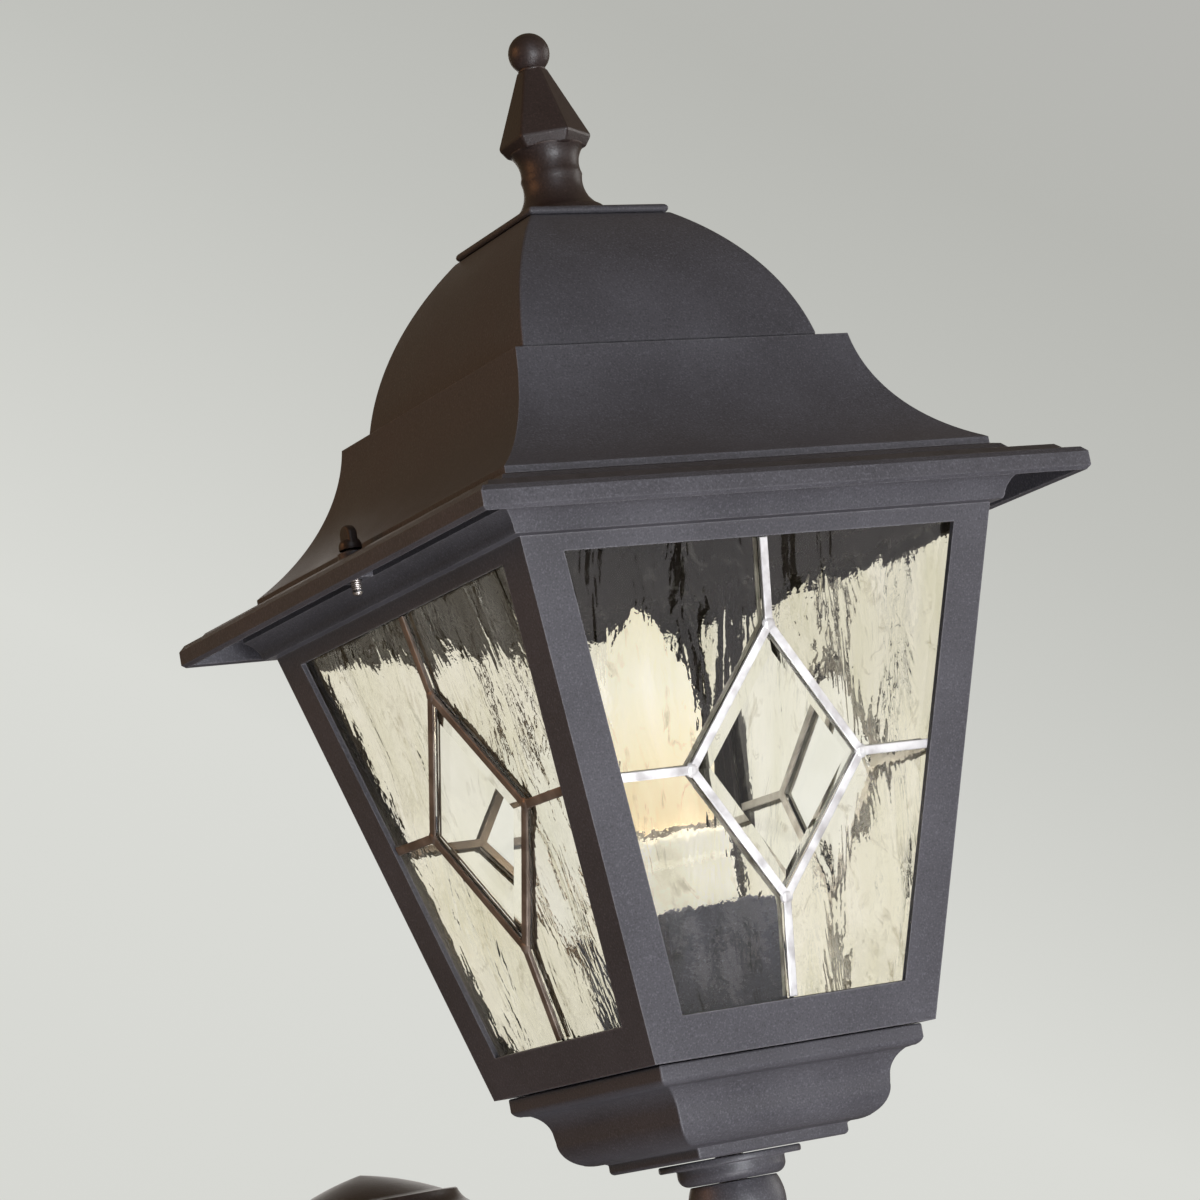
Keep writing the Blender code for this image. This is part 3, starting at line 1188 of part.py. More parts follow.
def make_fuse_unit():
    back = PLINTH_HALF - PLINTH_WALL - GAP
    front = back - FUSE_DEPTH
    low = (-FUSE_HALF_WIDTH, front, FUSE_Z)
    body = box_mesh("fuse_cutout", low, (FUSE_HALF_WIDTH, back, FUSE_Z + FUSE_HEIGHT))
    unit = place("fuse_cutout", body, (0.10, 0.10, 0.11), 0.45)
    bottom = FUSE_Z + (FUSE_HEIGHT - CARRIER_HEIGHT) / 2
    half = CARRIER_HALF_WIDTH
    low = (-half - GAP, front - 0.01, bottom - GAP)
    pocket = box_mesh("carrier_pocket", low, (half + GAP, front + CARRIER_DEPTH + GAP, bottom + CARRIER_HEIGHT + GAP))
    cut(unit, helper("carrier_pocket", pocket))
    gland = rod_mesh("fuse_gland", 0.011, FUSE_Z - 0.014, FUSE_Z + 0.004)
    gland_at = Matrix.Translation((0, (front + back) / 2, 0))
    weld(unit, helper("fuse_gland", gland, gland_at))
    gland_bore = rod_mesh("gland_bore", 0.006, FUSE_Z - 0.02, FUSE_Z + 0.006)
    cut(unit, helper("gland_bore", gland_bore, gland_at))

    carrier = box_mesh("fuse_carrier", (-half, front, bottom), (half, front + CARRIER_DEPTH, bottom + CARRIER_HEIGHT))
    slider = place("fuse_carrier", carrier, (0.55, 0.10, 0.06), 0.4)
    grip = box_mesh("carrier_grip", (-half * 0.4, front - 0.008, bottom + 0.006), (half * 0.4, front + 0.002, bottom + CARRIER_HEIGHT - 0.006))
    weld(slider, helper("carrier_grip", grip))


# ================================================================ the lamp post
make_base_flange()
for number, (x, y) in enumerate(((-1, -1), (1, -1), (1, 1), (-1, 1)), 1):
    make_anchor_bolt(number, x, y)
make_plinth()
make_access_door()
make_hinge_pin()
make_door_lock()
make_fuse_unit()
make_shaft_lower()
make_shaft_ring()
make_shaft_upper()
make_post_cap()
make_arm_sleeve()
make_bracket_arm()
make_bracket_scroll()
make_lamp_neck()
make_neck_collar()
make_base_moulding()
make_threaded_nipple()
make_lantern_frame()
make_glazing()
make_lamp()
make_roof_skirt()
make_roof_dome()
make_roof_cap_plate()
make_finial()
make_finial_nut()
make_thumbscrew("left", -1)
make_thumbscrew("right", 1)
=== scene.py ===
import math  # noqa: E402

import bmesh  # noqa: E402
import bpy  # noqa: E402
from mathutils import Matrix, Vector, noise  # noqa: E402


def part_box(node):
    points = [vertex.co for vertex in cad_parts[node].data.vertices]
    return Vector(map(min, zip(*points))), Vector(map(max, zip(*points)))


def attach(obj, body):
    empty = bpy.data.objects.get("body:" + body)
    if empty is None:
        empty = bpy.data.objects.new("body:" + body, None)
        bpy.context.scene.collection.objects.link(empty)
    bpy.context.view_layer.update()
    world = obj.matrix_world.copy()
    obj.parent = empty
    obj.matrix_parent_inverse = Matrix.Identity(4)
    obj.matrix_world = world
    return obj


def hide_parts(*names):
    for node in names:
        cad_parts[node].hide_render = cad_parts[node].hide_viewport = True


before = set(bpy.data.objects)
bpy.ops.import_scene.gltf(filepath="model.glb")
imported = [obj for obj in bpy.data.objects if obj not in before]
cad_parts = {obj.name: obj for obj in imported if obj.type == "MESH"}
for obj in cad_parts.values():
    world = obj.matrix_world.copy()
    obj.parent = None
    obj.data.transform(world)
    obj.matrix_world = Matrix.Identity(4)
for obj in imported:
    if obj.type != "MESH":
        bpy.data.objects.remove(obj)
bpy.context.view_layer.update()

# ================================================================ sizes, from the frame
GAP = 0.0003


def half_of(node):
    low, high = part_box(node)
    return (high.x - low.x) / 2


def low_of(node):
    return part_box(node)[0].z


def high_of(node):
    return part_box(node)[1].z


skirt_low, skirt_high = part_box("roof_skirt")
LANTERN_Y = (skirt_low.y + skirt_high.y) / 2
FASCIA_HEIGHT = 0.0071
EAVE_Z = skirt_low.z + FASCIA_HEIGHT
LANTERN = Matrix.Translation((0, LANTERN_Y, EAVE_Z))

EAVE_HALF = half_of("roof_skirt")
DOME_FOOT_HALF = half_of("roof_dome")
DOME_TOP_HALF = half_of("roof_cap_plate")
FRAME_TOP_HALF = (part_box("lantern_frame")[1].y - LANTERN_Y) - 0.0083
SHAFT_RADIUS = half_of("shaft_upper")

SKIRT_TOP_Z = skirt_high.z - EAVE_Z
DOME_FOOT_Z = low_of("roof_dome") - EAVE_Z
DOME_TOP_Z = high_of("roof_dome") - EAVE_Z
PLATE_Z = low_of("roof_cap_plate") - EAVE_Z
PLATE_TOP_Z = high_of("roof_cap_plate") - EAVE_Z
FRAME_TOP_Z = high_of("lantern_frame") - EAVE_Z
FRAME_FOOT_Z = low_of("lantern_frame") - EAVE_Z
BASE_TOP_Z = high_of("base_moulding") - EAVE_Z
BASE_FOOT_Z = low_of("base_moulding") - EAVE_Z
COLLAR_Z = high_of("neck_collar") - EAVE_Z
NECK_TOP_Z = high_of("lamp_neck") - EAVE_Z
NECK_FOOT_Z = high_of("bracket_arm") + GAP - EAVE_Z

# the frame and its windows
FRAME_FOOT_HALF = 0.0568
FRAME_WALL = 0.006
FLOOR_THICK = 0.004
CORNICE_DROP = 0.0109
CORNICE_REACH = 0.0083
CORNICE_LIP = 0.0033
STILE = 0.0148
SILL_RAIL = 0.0147
HEAD_RAIL = 0.0058
LIP_THICK = 0.002
REBATE = 0.004
GLASS_THICK = 0.003
DIAMOND_HALF_WIDTH = 0.034
DIAMOND_HALF_HEIGHT = 0.0458
DIAMOND_RISE = 0.0945
CAME_WIDTH = 0.0032
CAME_HEART = 0.0012
LEAF_THICK = 0.0009
FRAME_HEIGHT = -CORNICE_DROP - FRAME_FOOT_Z
TAPER = math.atan((FRAME_TOP_HALF - FRAME_FOOT_HALF) / FRAME_HEIGHT)
SLOPE_LENGTH = FRAME_HEIGHT / math.cos(TAPER)
FLOOR_Z = FRAME_FOOT_Z + FLOOR_THICK

# the roof
FASCIA_THICK = 0.0033
SKIRT_FOOT_HALF = EAVE_HALF - 0.0233
SKIRT_TOP_HALF = SKIRT_FOOT_HALF - 0.0294
SKIRT_HEIGHT = SKIRT_TOP_Z - 0.0018
SKIRT_FOOT_Z = 0.0126
SKIRT_BOW = 0.109
DOME_BOW = 0.083
CASTING_WALL = 0.003
SOFFIT_Z = 0.0005
SCREW_X = EAVE_HALF - 0.0143
SPIRE_RADIUS = 0.0172
SPIRE_TIP_RADIUS = 0.0056
BALL_RADIUS = 0.0076
CORNER_Z = PLATE_TOP_Z + 0.0326
TIP_Z = CORNER_Z + 0.0275


# ================================================================ finishes
class Wire:
    """The output of a shader node. Arithmetic on it adds Math nodes."""

    def __init__(self, finish, socket):
        self.finish = finish
        self.socket = socket

    def sum_of(self, operation, first, second):
        return self.finish.node("ShaderNodeMath", {"operation": operation}, {0: first, 1: second})

    def __add__(self, other):
        return self.sum_of("ADD", self, other)

    __radd__ = __add__

    def __sub__(self, other):
        return self.sum_of("SUBTRACT", self, other)

    def __rsub__(self, other):
        return self.sum_of("SUBTRACT", other, self)

    def __mul__(self, other):
        return self.sum_of("MULTIPLY", self, other)

    __rmul__ = __mul__

    def __truediv__(self, other):
        return self.sum_of("DIVIDE", self, other)

    def __pow__(self, other):
        return self.sum_of("POWER", self, other)

    def at_least(self, other):
        return self.sum_of("MAXIMUM", self, other)

    def at_most(self, other):
        return self.sum_of("MINIMUM", self, other)


class Finish:
    """A material, or the world, and the nodes that make it up."""

    def __init__(self, owner):
        owner.use_nodes = True
        self.owner = owner
        self.tree = owner.node_tree

    def node(self, kind, settings=None, sockets=None, output=0):
        made = self.tree.nodes.new(kind)
        for name, value in (settings or {}).items():
            if name == "stops":
                ramp = made.color_ramp.elements
                while len(ramp) < len(value):
                    ramp.new(0.5)
                for element, (position, colour) in zip(ramp, value):
                    element.position = position
                    element.color = (*colour, 1)
            else:
                setattr(made, name, value)
        for name, value in (sockets or {}).items():
            self.feed(made.inputs[name], value)
        return Wire(self, made.outputs[output]) if made.outputs else None

    def feed(self, socket, value):
        if isinstance(value, Wire):
            self.tree.links.new(value.socket, socket)
        elif isinstance(value, tuple) and len(value) == 3 and socket.type == "RGBA":
            socket.default_value = (*value, 1)
        else:
            socket.default_value = value

    def place(self, stretch=(1, 1, 1)):
        coordinate = self.node("ShaderNodeTexCoord", output="Object")
        return self.node("ShaderNodeMapping", {}, {"Vector": coordinate, "Scale": stretch})

    def grain(self, scale, detail=3.0, stretch=(1, 1, 1), distortion=0.0, roughness=0.5):
        sockets = {"Vector": self.place(stretch), "Scale": scale, "Detail": detail}
        sockets.update({"Distortion": distortion, "Roughness": roughness})
        return self.node("ShaderNodeTexNoise", {}, sockets)

    def spread(self, value, low, high, start=0.0, end=1.0):
        sockets = {"Value": value, "From Min": low, "From Max": high, "To Min": start, "To Max": end}
        return self.node("ShaderNodeMapRange", {"clamp": True}, sockets)

    def blend(self, factor, first, second, blend_type="MIX"):
        settings = {"data_type": "RGBA", "blend_type": blend_type}
        return self.node("ShaderNodeMix", settings, {0: factor, 6: first, 7: second}, output=2)

    def bumps(self, height, distance, strength=1.0, under=None):
        sockets = {"Height": height, "Distance": distance, "Strength": strength}
        if under is not None:
            sockets["Normal"] = under
        return self.node("ShaderNodeBump", {}, sockets)

    def shade(self, **values):
        shader = self.tree.nodes["Principled BSDF"]
        for name, value in values.items():
            self.feed(shader.inputs[name.replace("_", " ")], value)
        return self.owner


def new_finish(name):
    return Finish(bpy.data.materials.new(name))


def edge_mask(f, radius):
    """One on the outer arrises and in the inner corners, none on the flat faces."""
    eased = f.node("ShaderNodeBevel", {"samples": 4}, {"Radius": radius})
    true = f.node("ShaderNodeNewGeometry", output="True Normal")
    agree = f.node("ShaderNodeVectorMath", {"operation": "DOT_PRODUCT"}, {0: eased, 1: true}, output="Value")
    return f.spread(1 - agree, 0.02, 0.25)


def painted_casting(name, colour, wear_and_highlight, roughness, peel_depth=0.00011):
    """Powder coat on a casting: a fine sparkling grain, soft clouding and paler arrises, part wear and part painted
    highlight.
    """
    f = new_finish(name)
    peel = f.grain(1100, 2)
    fleck = f.grain(1500, 1)
    cloud = f.grain(26, 4)
    edge = edge_mask(f, 0.0011) * f.spread(f.grain(160, 3), 0.35, 0.6, 0.35, 1.0)
    shade = f.blend(f.spread(cloud, 0.35, 0.7), tuple(c * 0.86 for c in colour), tuple(c * 1.12 for c in colour))
    shade = f.blend(f.spread(fleck, 0.56, 0.72) * 0.5, shade, tuple(c * 2.2 for c in colour))
    shade = f.blend(f.spread(fleck, 0.42, 0.30) * 0.5, shade, tuple(c * 0.4 for c in colour))
    # arrises and inner corners turn paler: part wear, part painted highlight
    shade = f.blend(edge * 0.7, shade, wear_and_highlight)
    rough = f.spread(cloud, 0.3, 0.75, roughness - 0.05, roughness + 0.07)
    normal = f.bumps(peel, peel_depth, 0.8, f.bumps(cloud, 0.0006, 0.35))
    return f.shade(Base_Color=shade, Roughness=rough, Normal=normal, IOR=1.45)


def bare_metal(name, colour, stain, roughness, metallic=1.0, scratch=(1, 1, 14)):
    f = new_finish(name)
    streak = f.grain(500, 3, scratch)
    blotch = f.grain(120, 4)
    shade = f.blend(f.spread(blotch, 0.42, 0.68), colour, stain)
    rough = f.spread(streak, 0.3, 0.7, roughness - 0.08, roughness + 0.12)
    normal = f.bumps(streak, 0.00005, 0.5)
    return f.shade(Base_Color=shade, Roughness=rough, Metallic=metallic, Normal=normal)


def water_glass():
    """Cast cream glass: long ripples, a dimpled skin and a few brown creases."""
    f = new_finish("rippled_water_glass")
    streak = f.grain(40, 3, (1.6, 1.6, 0.35), 0.8)
    dimple = f.grain(130, 2, (1.2, 1.2, 0.7), 0.4)
    seed = f.grain(420, 2)
    tint = f.blend(f.spread(streak, 0.38, 0.68), (0.985, 0.965, 0.90), (0.90, 0.88, 0.77))
    vein = f.spread(f.grain(24, 5, (1.3, 1.3, 0.5), 1.4), 0.485, 0.515)
    crease = vein * (1 - vein) * 4.0 * f.spread(dimple, 0.5, 0.62)
    tint = f.blend(crease * 0.55, tint, (0.50, 0.45, 0.34))
    normal = f.bumps(streak, 0.0020, 0.50)
    normal = f.bumps(dimple, 0.0004, 0.45, normal)
    normal = f.bumps(seed, 0.0002, 0.3, normal)
    return f.shade(Base_Color=tint, Roughness=0.02, IOR=1.42, Transmission_Weight=1.0, Normal=normal)


def clear_glass():
    f = new_finish("bevelled_clear_glass")
    haze = f.grain(60, 3)
    tint = f.blend(f.spread(haze, 0.4, 0.7), (0.975, 0.975, 0.94), (0.93, 0.93, 0.88))
    rough = f.spread(haze, 0.4, 0.8, 0.0, 0.03)
    normal = f.bumps(f.grain(18, 1), 0.0006, 0.12)
    return f.shade(Base_Color=tint, Roughness=rough, IOR=1.27, Transmission_Weight=1.0, Normal=normal)


def lit_lamp_glass():
    """Pearl glass, brightest round the middle and warmer at its foot."""
    f = new_finish("lit_lamp_glass")
    height = f.node("ShaderNodeSeparateXYZ", {}, {0: f.place()}, output=2)
    low, high = low_of("bulb_glass") - EAVE_Z, high_of("bulb_glass") - EAVE_Z
    share = f.spread(height, low, high)
    stops = [(0.0, (0.84, 0.68, 0.46)), (0.30, (0.98, 0.88, 0.66)), (0.6, (1.0, 0.98, 0.88)), (1.0, (1.0, 0.95, 0.78))]
    glow = f.node("ShaderNodeValToRGB", {"stops": stops}, {0: share})
    pearl = f.bumps(f.grain(700, 2), 0.00005, 0.3)
    sockets = {"Base_Color": (0.42, 0.38, 0.30), "Roughness": 0.35, "Emission_Color": glow}
    return f.shade(Emission_Strength=0.86, Normal=pearl, **sockets)


def glazed_porcelain():
    f = new_finish("glazed_porcelain")
    cloud = f.grain(90, 3)
    shade = f.blend(f.spread(cloud, 0.4, 0.7), (0.86, 0.85, 0.80), (0.74, 0.72, 0.65))
    # the emission is painted light: it gives the porcelain the glow of the front lamps, which the glass keeps from it;
    # the porcelain is no lamp
    sockets = {"Base_Color": shade, "Roughness": 0.22, "Coat_Weight": 0.3, "Emission_Color": shade}
    return f.shade(Emission_Strength=0.55, Normal=f.bumps(cloud, 0.0003, 0.3), **sockets)


def moulded_plastic(name, colour):
    f = new_finish(name)
    spark = f.grain(1400, 2)
    cloud = f.grain(60, 2)
    shade = f.blend(f.spread(cloud, 0.4, 0.7), colour, tuple(c * 0.75 for c in colour))
    return f.shade(Base_Color=shade, Roughness=0.5, Normal=f.bumps(spark, 0.00008, 0.5))


POWDER = painted_casting("charcoal_powder_coat", (0.054, 0.052, 0.059), (0.200, 0.192, 0.200), 0.44)
BRONZE = painted_casting("bronze_brown_paint", (0.026, 0.017, 0.015), (0.12, 0.085, 0.070), 0.40)
ENAMEL = painted_casting("blue_grey_enamel", (0.190, 0.200, 0.275), (0.26, 0.26, 0.32), 0.5)
STEEL = bare_metal("bright_steel", (0.66, 0.63, 0.60), (0.46, 0.40, 0.36), 0.32)
# two copies of one lead: a pale one, painted light for the front and right sides, and a dark brown one, painted shade
# for the back and left sides
LEAD = bare_metal("lead_painted_light", (0.78, 0.77, 0.76), (0.46, 0.44, 0.43), 0.42, 0.5, (1, 1, 1))
SHADED_LEAD_COPY = bare_metal("lead_painted_shade", (0.15, 0.115, 0.09), (0.27, 0.22, 0.18), 0.45, 0.5, (1, 1, 1))
BRASS = bare_metal("contact_brass", (0.80, 0.60, 0.28), (0.55, 0.38, 0.18), 0.3)
WATER = water_glass()
CLEAR = clear_glass()
LAMP = lit_lamp_glass()
PORCELAIN = glazed_porcelain()
BLACK_PLASTIC = moulded_plastic("black_plastic", (0.06, 0.06, 0.065))
RED_PLASTIC = moulded_plastic("red_plastic", (0.50, 0.07, 0.04))


# ================================================================ shapes
def link(name, data, at):
    obj = bpy.data.objects.new(name, data)
    bpy.context.scene.collection.objects.link(obj)
    obj.matrix_world = at
    return obj


def baked(obj):
    """The object's mesh with its modifiers applied. The object goes."""
    bpy.context.view_layer.update()
    evaluated = obj.evaluated_get(bpy.context.evaluated_depsgraph_get())
    mesh = bpy.data.meshes.new_from_object(evaluated)
    shape = bmesh.new()
    shape.from_mesh(mesh)
    bmesh.ops.remove_doubles(shape, verts=shape.verts, dist=0.000002)
    bmesh.ops.dissolve_degenerate(shape, edges=shape.edges, dist=0.000002)
    shape.to_mesh(mesh)
    shape.free()
    bpy.data.objects.remove(obj, do_unlink=True)
    return mesh


def piece(name, mesh, finish, body, stands_for=(), at=LANTERN, edge=0.0006, angle=35, steps=2):
    """A finished piece with softened edges. It rides on a body and stands for CAD nodes."""
    obj = link(name, mesh, at)
    mesh.materials.clear()
    mesh.materials.append(finish)
    mesh.shade_smooth()
    if edge:
        soft = obj.modifiers.new("softened_edges", "BEVEL")
        soft.width = edge
        soft.segments = steps
        soft.limit_method = "ANGLE"
        soft.angle_limit = math.radians(angle)
        even = obj.modifiers.new("even_normals", "WEIGHTED_NORMAL")
        even.weight = 80
    else:
        mesh.set_sharp_from_angle(angle=math.radians(angle))
    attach(obj, body)
    if stands_for:
        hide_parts(*stands_for)
    return obj


def profile_mesh(points, closed):
    mesh = bpy.data.meshes.new("profile")
    edges = [(i, i + 1) for i in range(len(points) - 1)]
    if closed:
        edges.append((len(points) - 1, 0))
    mesh.from_pydata([(r, 0, z) for r, z in points], edges, [])
    return mesh


def turned(points, closed=False, steps=72, turn=Matrix.Identity(4)):
    """The mesh of a round piece from its (radius, z) profile, which runs down its outer side."""
    obj = link("turned", profile_mesh(points, closed), Matrix.Identity(4))
    screw = obj.modifiers.new("turn", "SCREW")
    screw.steps = steps
    screw.render_steps = steps
    screw.use_merge_vertices = True
    screw.merge_threshold = 0.00001
    mesh = baked(obj)
    mesh.transform(turn)
    return mesh


def squared(points, closed=False):
    """The mesh of a square piece with mitred corners from its (half width, z) profile."""
    corners = [(half * math.sqrt(2), z) for half, z in points]
    return turned(corners, closed, 4, Matrix.Rotation(math.pi / 4, 4, "Z"))


def bow(start, end, bulge, count):
    """Points of an arc. Its middle stands off the chord by bulge times the chord, outwards if positive."""
    start, end = Vector(start), Vector(end)
    chord = end - start
    length = chord.length
    along = chord / length
    out = Vector((-along.y, along.x))
    rise = bulge * length
    radius = (length * length / 4 + rise * rise) / (2 * rise)
    half_angle = 2 * math.atan(2 * bulge)
    middle = (start + end) / 2
    points = []
    for i in range(count + 1):
        angle = half_angle * (2 * i / count - 1)
        on_arc = middle + out * (radius * math.cos(angle) - radius + rise)
        points.append(tuple(on_arc + along * (radius * math.sin(angle))))
    return points


def box_mesh(low, high):
    mesh = bpy.data.meshes.new("box")
    shape = bmesh.new()
    bmesh.ops.create_cube(shape, size=1)
    bmesh.ops.scale(shape, vec=[high[i] - low[i] for i in range(3)], verts=shape.verts)
    bmesh.ops.translate(shape, vec=[(high[i] + low[i]) / 2 for i in range(3)], verts=shape.verts)
    shape.to_mesh(mesh)
    shape.free()
    return mesh


def rod_mesh(radius, low, high, sides=40, top_radius=None):
    mesh = bpy.data.meshes.new("rod")
    shape = bmesh.new()
    top = radius if top_radius is None else top_radius
    at = Matrix.Translation((0, 0, (low + high) / 2))
    settings = {"cap_ends": True, "segments": sides, "radius1": radius, "radius2": top}
    bmesh.ops.create_cone(shape, depth=high - low, matrix=at, **settings)
    shape.to_mesh(mesh)
    shape.free()
    return mesh


def flat_mesh(outlines, thickness, round_over=0.0):
    """A flat piece in X and Y, centred on Z, with rounded arrises."""
    curve = bpy.data.curves.new("flat", "CURVE")
    curve.dimensions = "2D"
    curve.fill_mode = "BOTH"
    curve.extrude = thickness / 2 - round_over
    curve.bevel_depth = round_over
    curve.bevel_resolution = 2
    curve.offset = -round_over
    for outline in outlines:
        spline = curve.splines.new("POLY")
        spline.points.add(len(outline) - 1)
        for point, (x, y) in zip(spline.points, outline):
            point.co = (x, y, 0, 1)
        spline.use_cyclic_u = True
    return baked(link("flat", curve, Matrix.Identity(4)))


def tube_mesh(points, radius, resolution=10):
    curve = bpy.data.curves.new("tube", "CURVE")
    curve.dimensions = "3D"
    curve.bevel_depth = radius
    curve.bevel_resolution = resolution
    curve.use_fill_caps = True
    spline = curve.splines.new("POLY")
    spline.points.add(len(points) - 1)
    for point, co in zip(spline.points, points):
        point.co = (*co, 1)
    return baked(link("tube", curve, Matrix.Identity(4)))


def combined(mesh, *changes):
    """The mesh after each (operation, other mesh, place) is joined on or cut out."""
    obj = link("combined", mesh, Matrix.Identity(4))
    others = []
    for operation, other, at in changes:
        helper = link("helper", other, at)
        helper.hide_render = True
        others.append(helper)
        change = obj.modifiers.new("change", "BOOLEAN")
        change.operation = operation
        change.object = helper
        change.solver = "EXACT"
    made = baked(obj)
    for helper in others:
        bpy.data.objects.remove(helper, do_unlink=True)
    return made


def together(*parts):
    """Several meshes, each with its place, as one mesh."""
    shape = bmesh.new()
    for mesh, at in parts:
        mesh = mesh.copy()
        mesh.transform(at)
        shape.from_mesh(mesh)
    made = bpy.data.meshes.new("together")
    shape.to_mesh(made)
    shape.free()
    return made


def shift(x, y, z):
    return Matrix.Translation((x, y, z))


def lying(point, direction):
    turn = Vector((0, 0, 1)).rotation_difference(Vector(direction)).to_matrix().to_4x4()
    return Matrix.Translation(point) @ turn


# ================================================================ roof
def skirt_curve(wall, count):
    top = (SKIRT_TOP_HALF - wall, SKIRT_HEIGHT)
    foot = (SKIRT_FOOT_HALF - 0.001 - wall, SKIRT_FOOT_Z)
    return bow(top, foot, -SKIRT_BOW, count)


def make_roof_skirt():
    foot_z = -FASCIA_HEIGHT
    seat = DOME_FOOT_HALF - CASTING_WALL - 0.0035
    outside = [(seat, SKIRT_TOP_Z), (DOME_FOOT_HALF + 0.0005, SKIRT_TOP_Z)]
    outside += skirt_curve(0, 30)
    outside += [
        (SKIRT_FOOT_HALF, SKIRT_FOOT_Z - 0.0008),
        (SKIRT_FOOT_HALF, SKIRT_FOOT_Z - 0.0032),
        (SKIRT_FOOT_HALF + 0.0027, SKIRT_FOOT_Z - 0.0041),
        (SKIRT_FOOT_HALF + 0.0042, SKIRT_FOOT_Z - 0.0059),
        (EAVE_HALF - 0.0079, 0.0041),
        (EAVE_HALF - 0.0061, 0.0023),
        (EAVE_HALF - 0.0017, 0.0012),
        (EAVE_HALF, -0.0008),
        (EAVE_HALF, foot_z + 0.0013),
        (EAVE_HALF - 0.0013, foot_z),
        (EAVE_HALF - FASCIA_THICK, foot_z + 0.0006),
        (EAVE_HALF - FASCIA_THICK - 0.0005, SOFFIT_Z),
    ]
    register = FRAME_TOP_HALF - FRAME_WALL - 0.0008
    inside = [
        (register, SOFFIT_Z),
        (register, SOFFIT_Z - 0.004),
        (register - CASTING_WALL, SOFFIT_Z - 0.004),
        (register - CASTING_WALL, SKIRT_FOOT_Z + 0.004),
    ]
    inside += reversed(skirt_curve(CASTING_WALL + 0.0004, 16)[1:-1])
    inside += [(SKIRT_TOP_HALF - CASTING_WALL - 0.0004, SKIRT_TOP_Z - CASTING_WALL), (seat, SKIRT_TOP_Z - CASTING_WALL)]
    changes = []
    for side in (-1, 1):
        at = shift(side * SCREW_X, 0, 0)
        changes.append(("UNION", rod_mesh(0.0048, 0.0020, 0.0070), at))
        changes.append(("DIFFERENCE", rod_mesh(0.0023, -0.005, 0.012), at))
    piece("roof_skirt_casting", combined(squared(outside + inside, True), *changes), POWDER, "roof", ["roof_skirt"])


def make_roof_dome():
    outside = [(0.0043, DOME_TOP_Z), (DOME_TOP_HALF, DOME_TOP_Z)]
    outside += bow((DOME_TOP_HALF, DOME_TOP_Z), (DOME_FOOT_HALF, DOME_FOOT_Z), DOME_BOW, 30)[1:]
    inner_top = (DOME_TOP_HALF - 0.001, DOME_TOP_Z - 0.004)
    inner_foot = (DOME_FOOT_HALF - CASTING_WALL, DOME_FOOT_Z)
    inside = list(reversed(bow(inner_top, inner_foot, DOME_BOW, 16)))
    inside.append((0.0043, DOME_TOP_Z - 0.004))
    piece("roof_dome_casting", squared(outside + inside, True), POWDER, "roof", ["roof_dome"], edge=0.0009)

    half = DOME_TOP_HALF
    points = [(0.0043, PLATE_TOP_Z), (half - 0.0012, PLATE_TOP_Z)]
    points += bow((half - 0.0012, PLATE_TOP_Z), (half - 0.0010, PLATE_Z), 0.36, 6)[1:]
    points.append((0.0043, PLATE_Z))
    piece("roof_cap_plate_casting", squared(points, True), POWDER, "roof", ["roof_cap_plate"], edge=0.0008, steps=3)


def make_finial():
    foot_z = PLATE_TOP_Z + GAP
    waist_z = PLATE_TOP_Z + 0.019
    neck = SPIRE_RADIUS * 0.80
    points = [(0, CORNER_Z - 0.003), (neck, CORNER_Z - 0.003)]
    points += bow((neck, CORNER_Z - 0.003), (0.0113, waist_z), -0.14, 10)[1:]
    points += bow((0.0113, waist_z), (0.0168, foot_z + 0.005), -0.17, 12)[1:]
    points += bow((0.0172, foot_z + 0.0045), (0.0172, foot_z), 0.22, 5)
    stud_foot = low_of("finial") - EAVE_Z
    points += [(0.0039, foot_z), (0.0039, stud_foot + 0.001), (0.0032, stud_foot), (0, stud_foot)]
    foot = turned(points, steps=64)
    spire = turned(
        [(0, TIP_Z), (SPIRE_TIP_RADIUS, TIP_Z), (SPIRE_RADIUS, CORNER_Z), (SPIRE_RADIUS * 0.84, CORNER_Z - 0.004), (0, CORNER_Z - 0.004)],
        steps=6,
        turn=Matrix.Rotation(math.radians(30), 4, "Z"),
    )
    ball_z = TIP_Z + BALL_RADIUS * 0.86
    ball = bpy.data.meshes.new("ball")
    shape = bmesh.new()
    bmesh.ops.create_uvsphere(shape, u_segments=40, v_segments=24, radius=BALL_RADIUS)
    shape.to_mesh(ball)
    shape.free()
    throat = turned([(0, TIP_Z + 0.0015), (0.0043, TIP_Z + 0.0015), (0.0050, TIP_Z + 0.0004), (0.0053, TIP_Z - 0.0006), (0, TIP_Z - 0.0006)], steps=40)
    piece("finial_foot", foot, BRONZE, "roof", ["finial"], edge=0.0004)
    piece("finial_spire", together((spire, Matrix.Identity(4)), (throat, Matrix.Identity(4))), BRONZE, "roof", edge=0.0008, steps=3)
    piece("finial_ball", ball, BRONZE, "roof", at=LANTERN @ shift(0, 0, ball_z), edge=0)


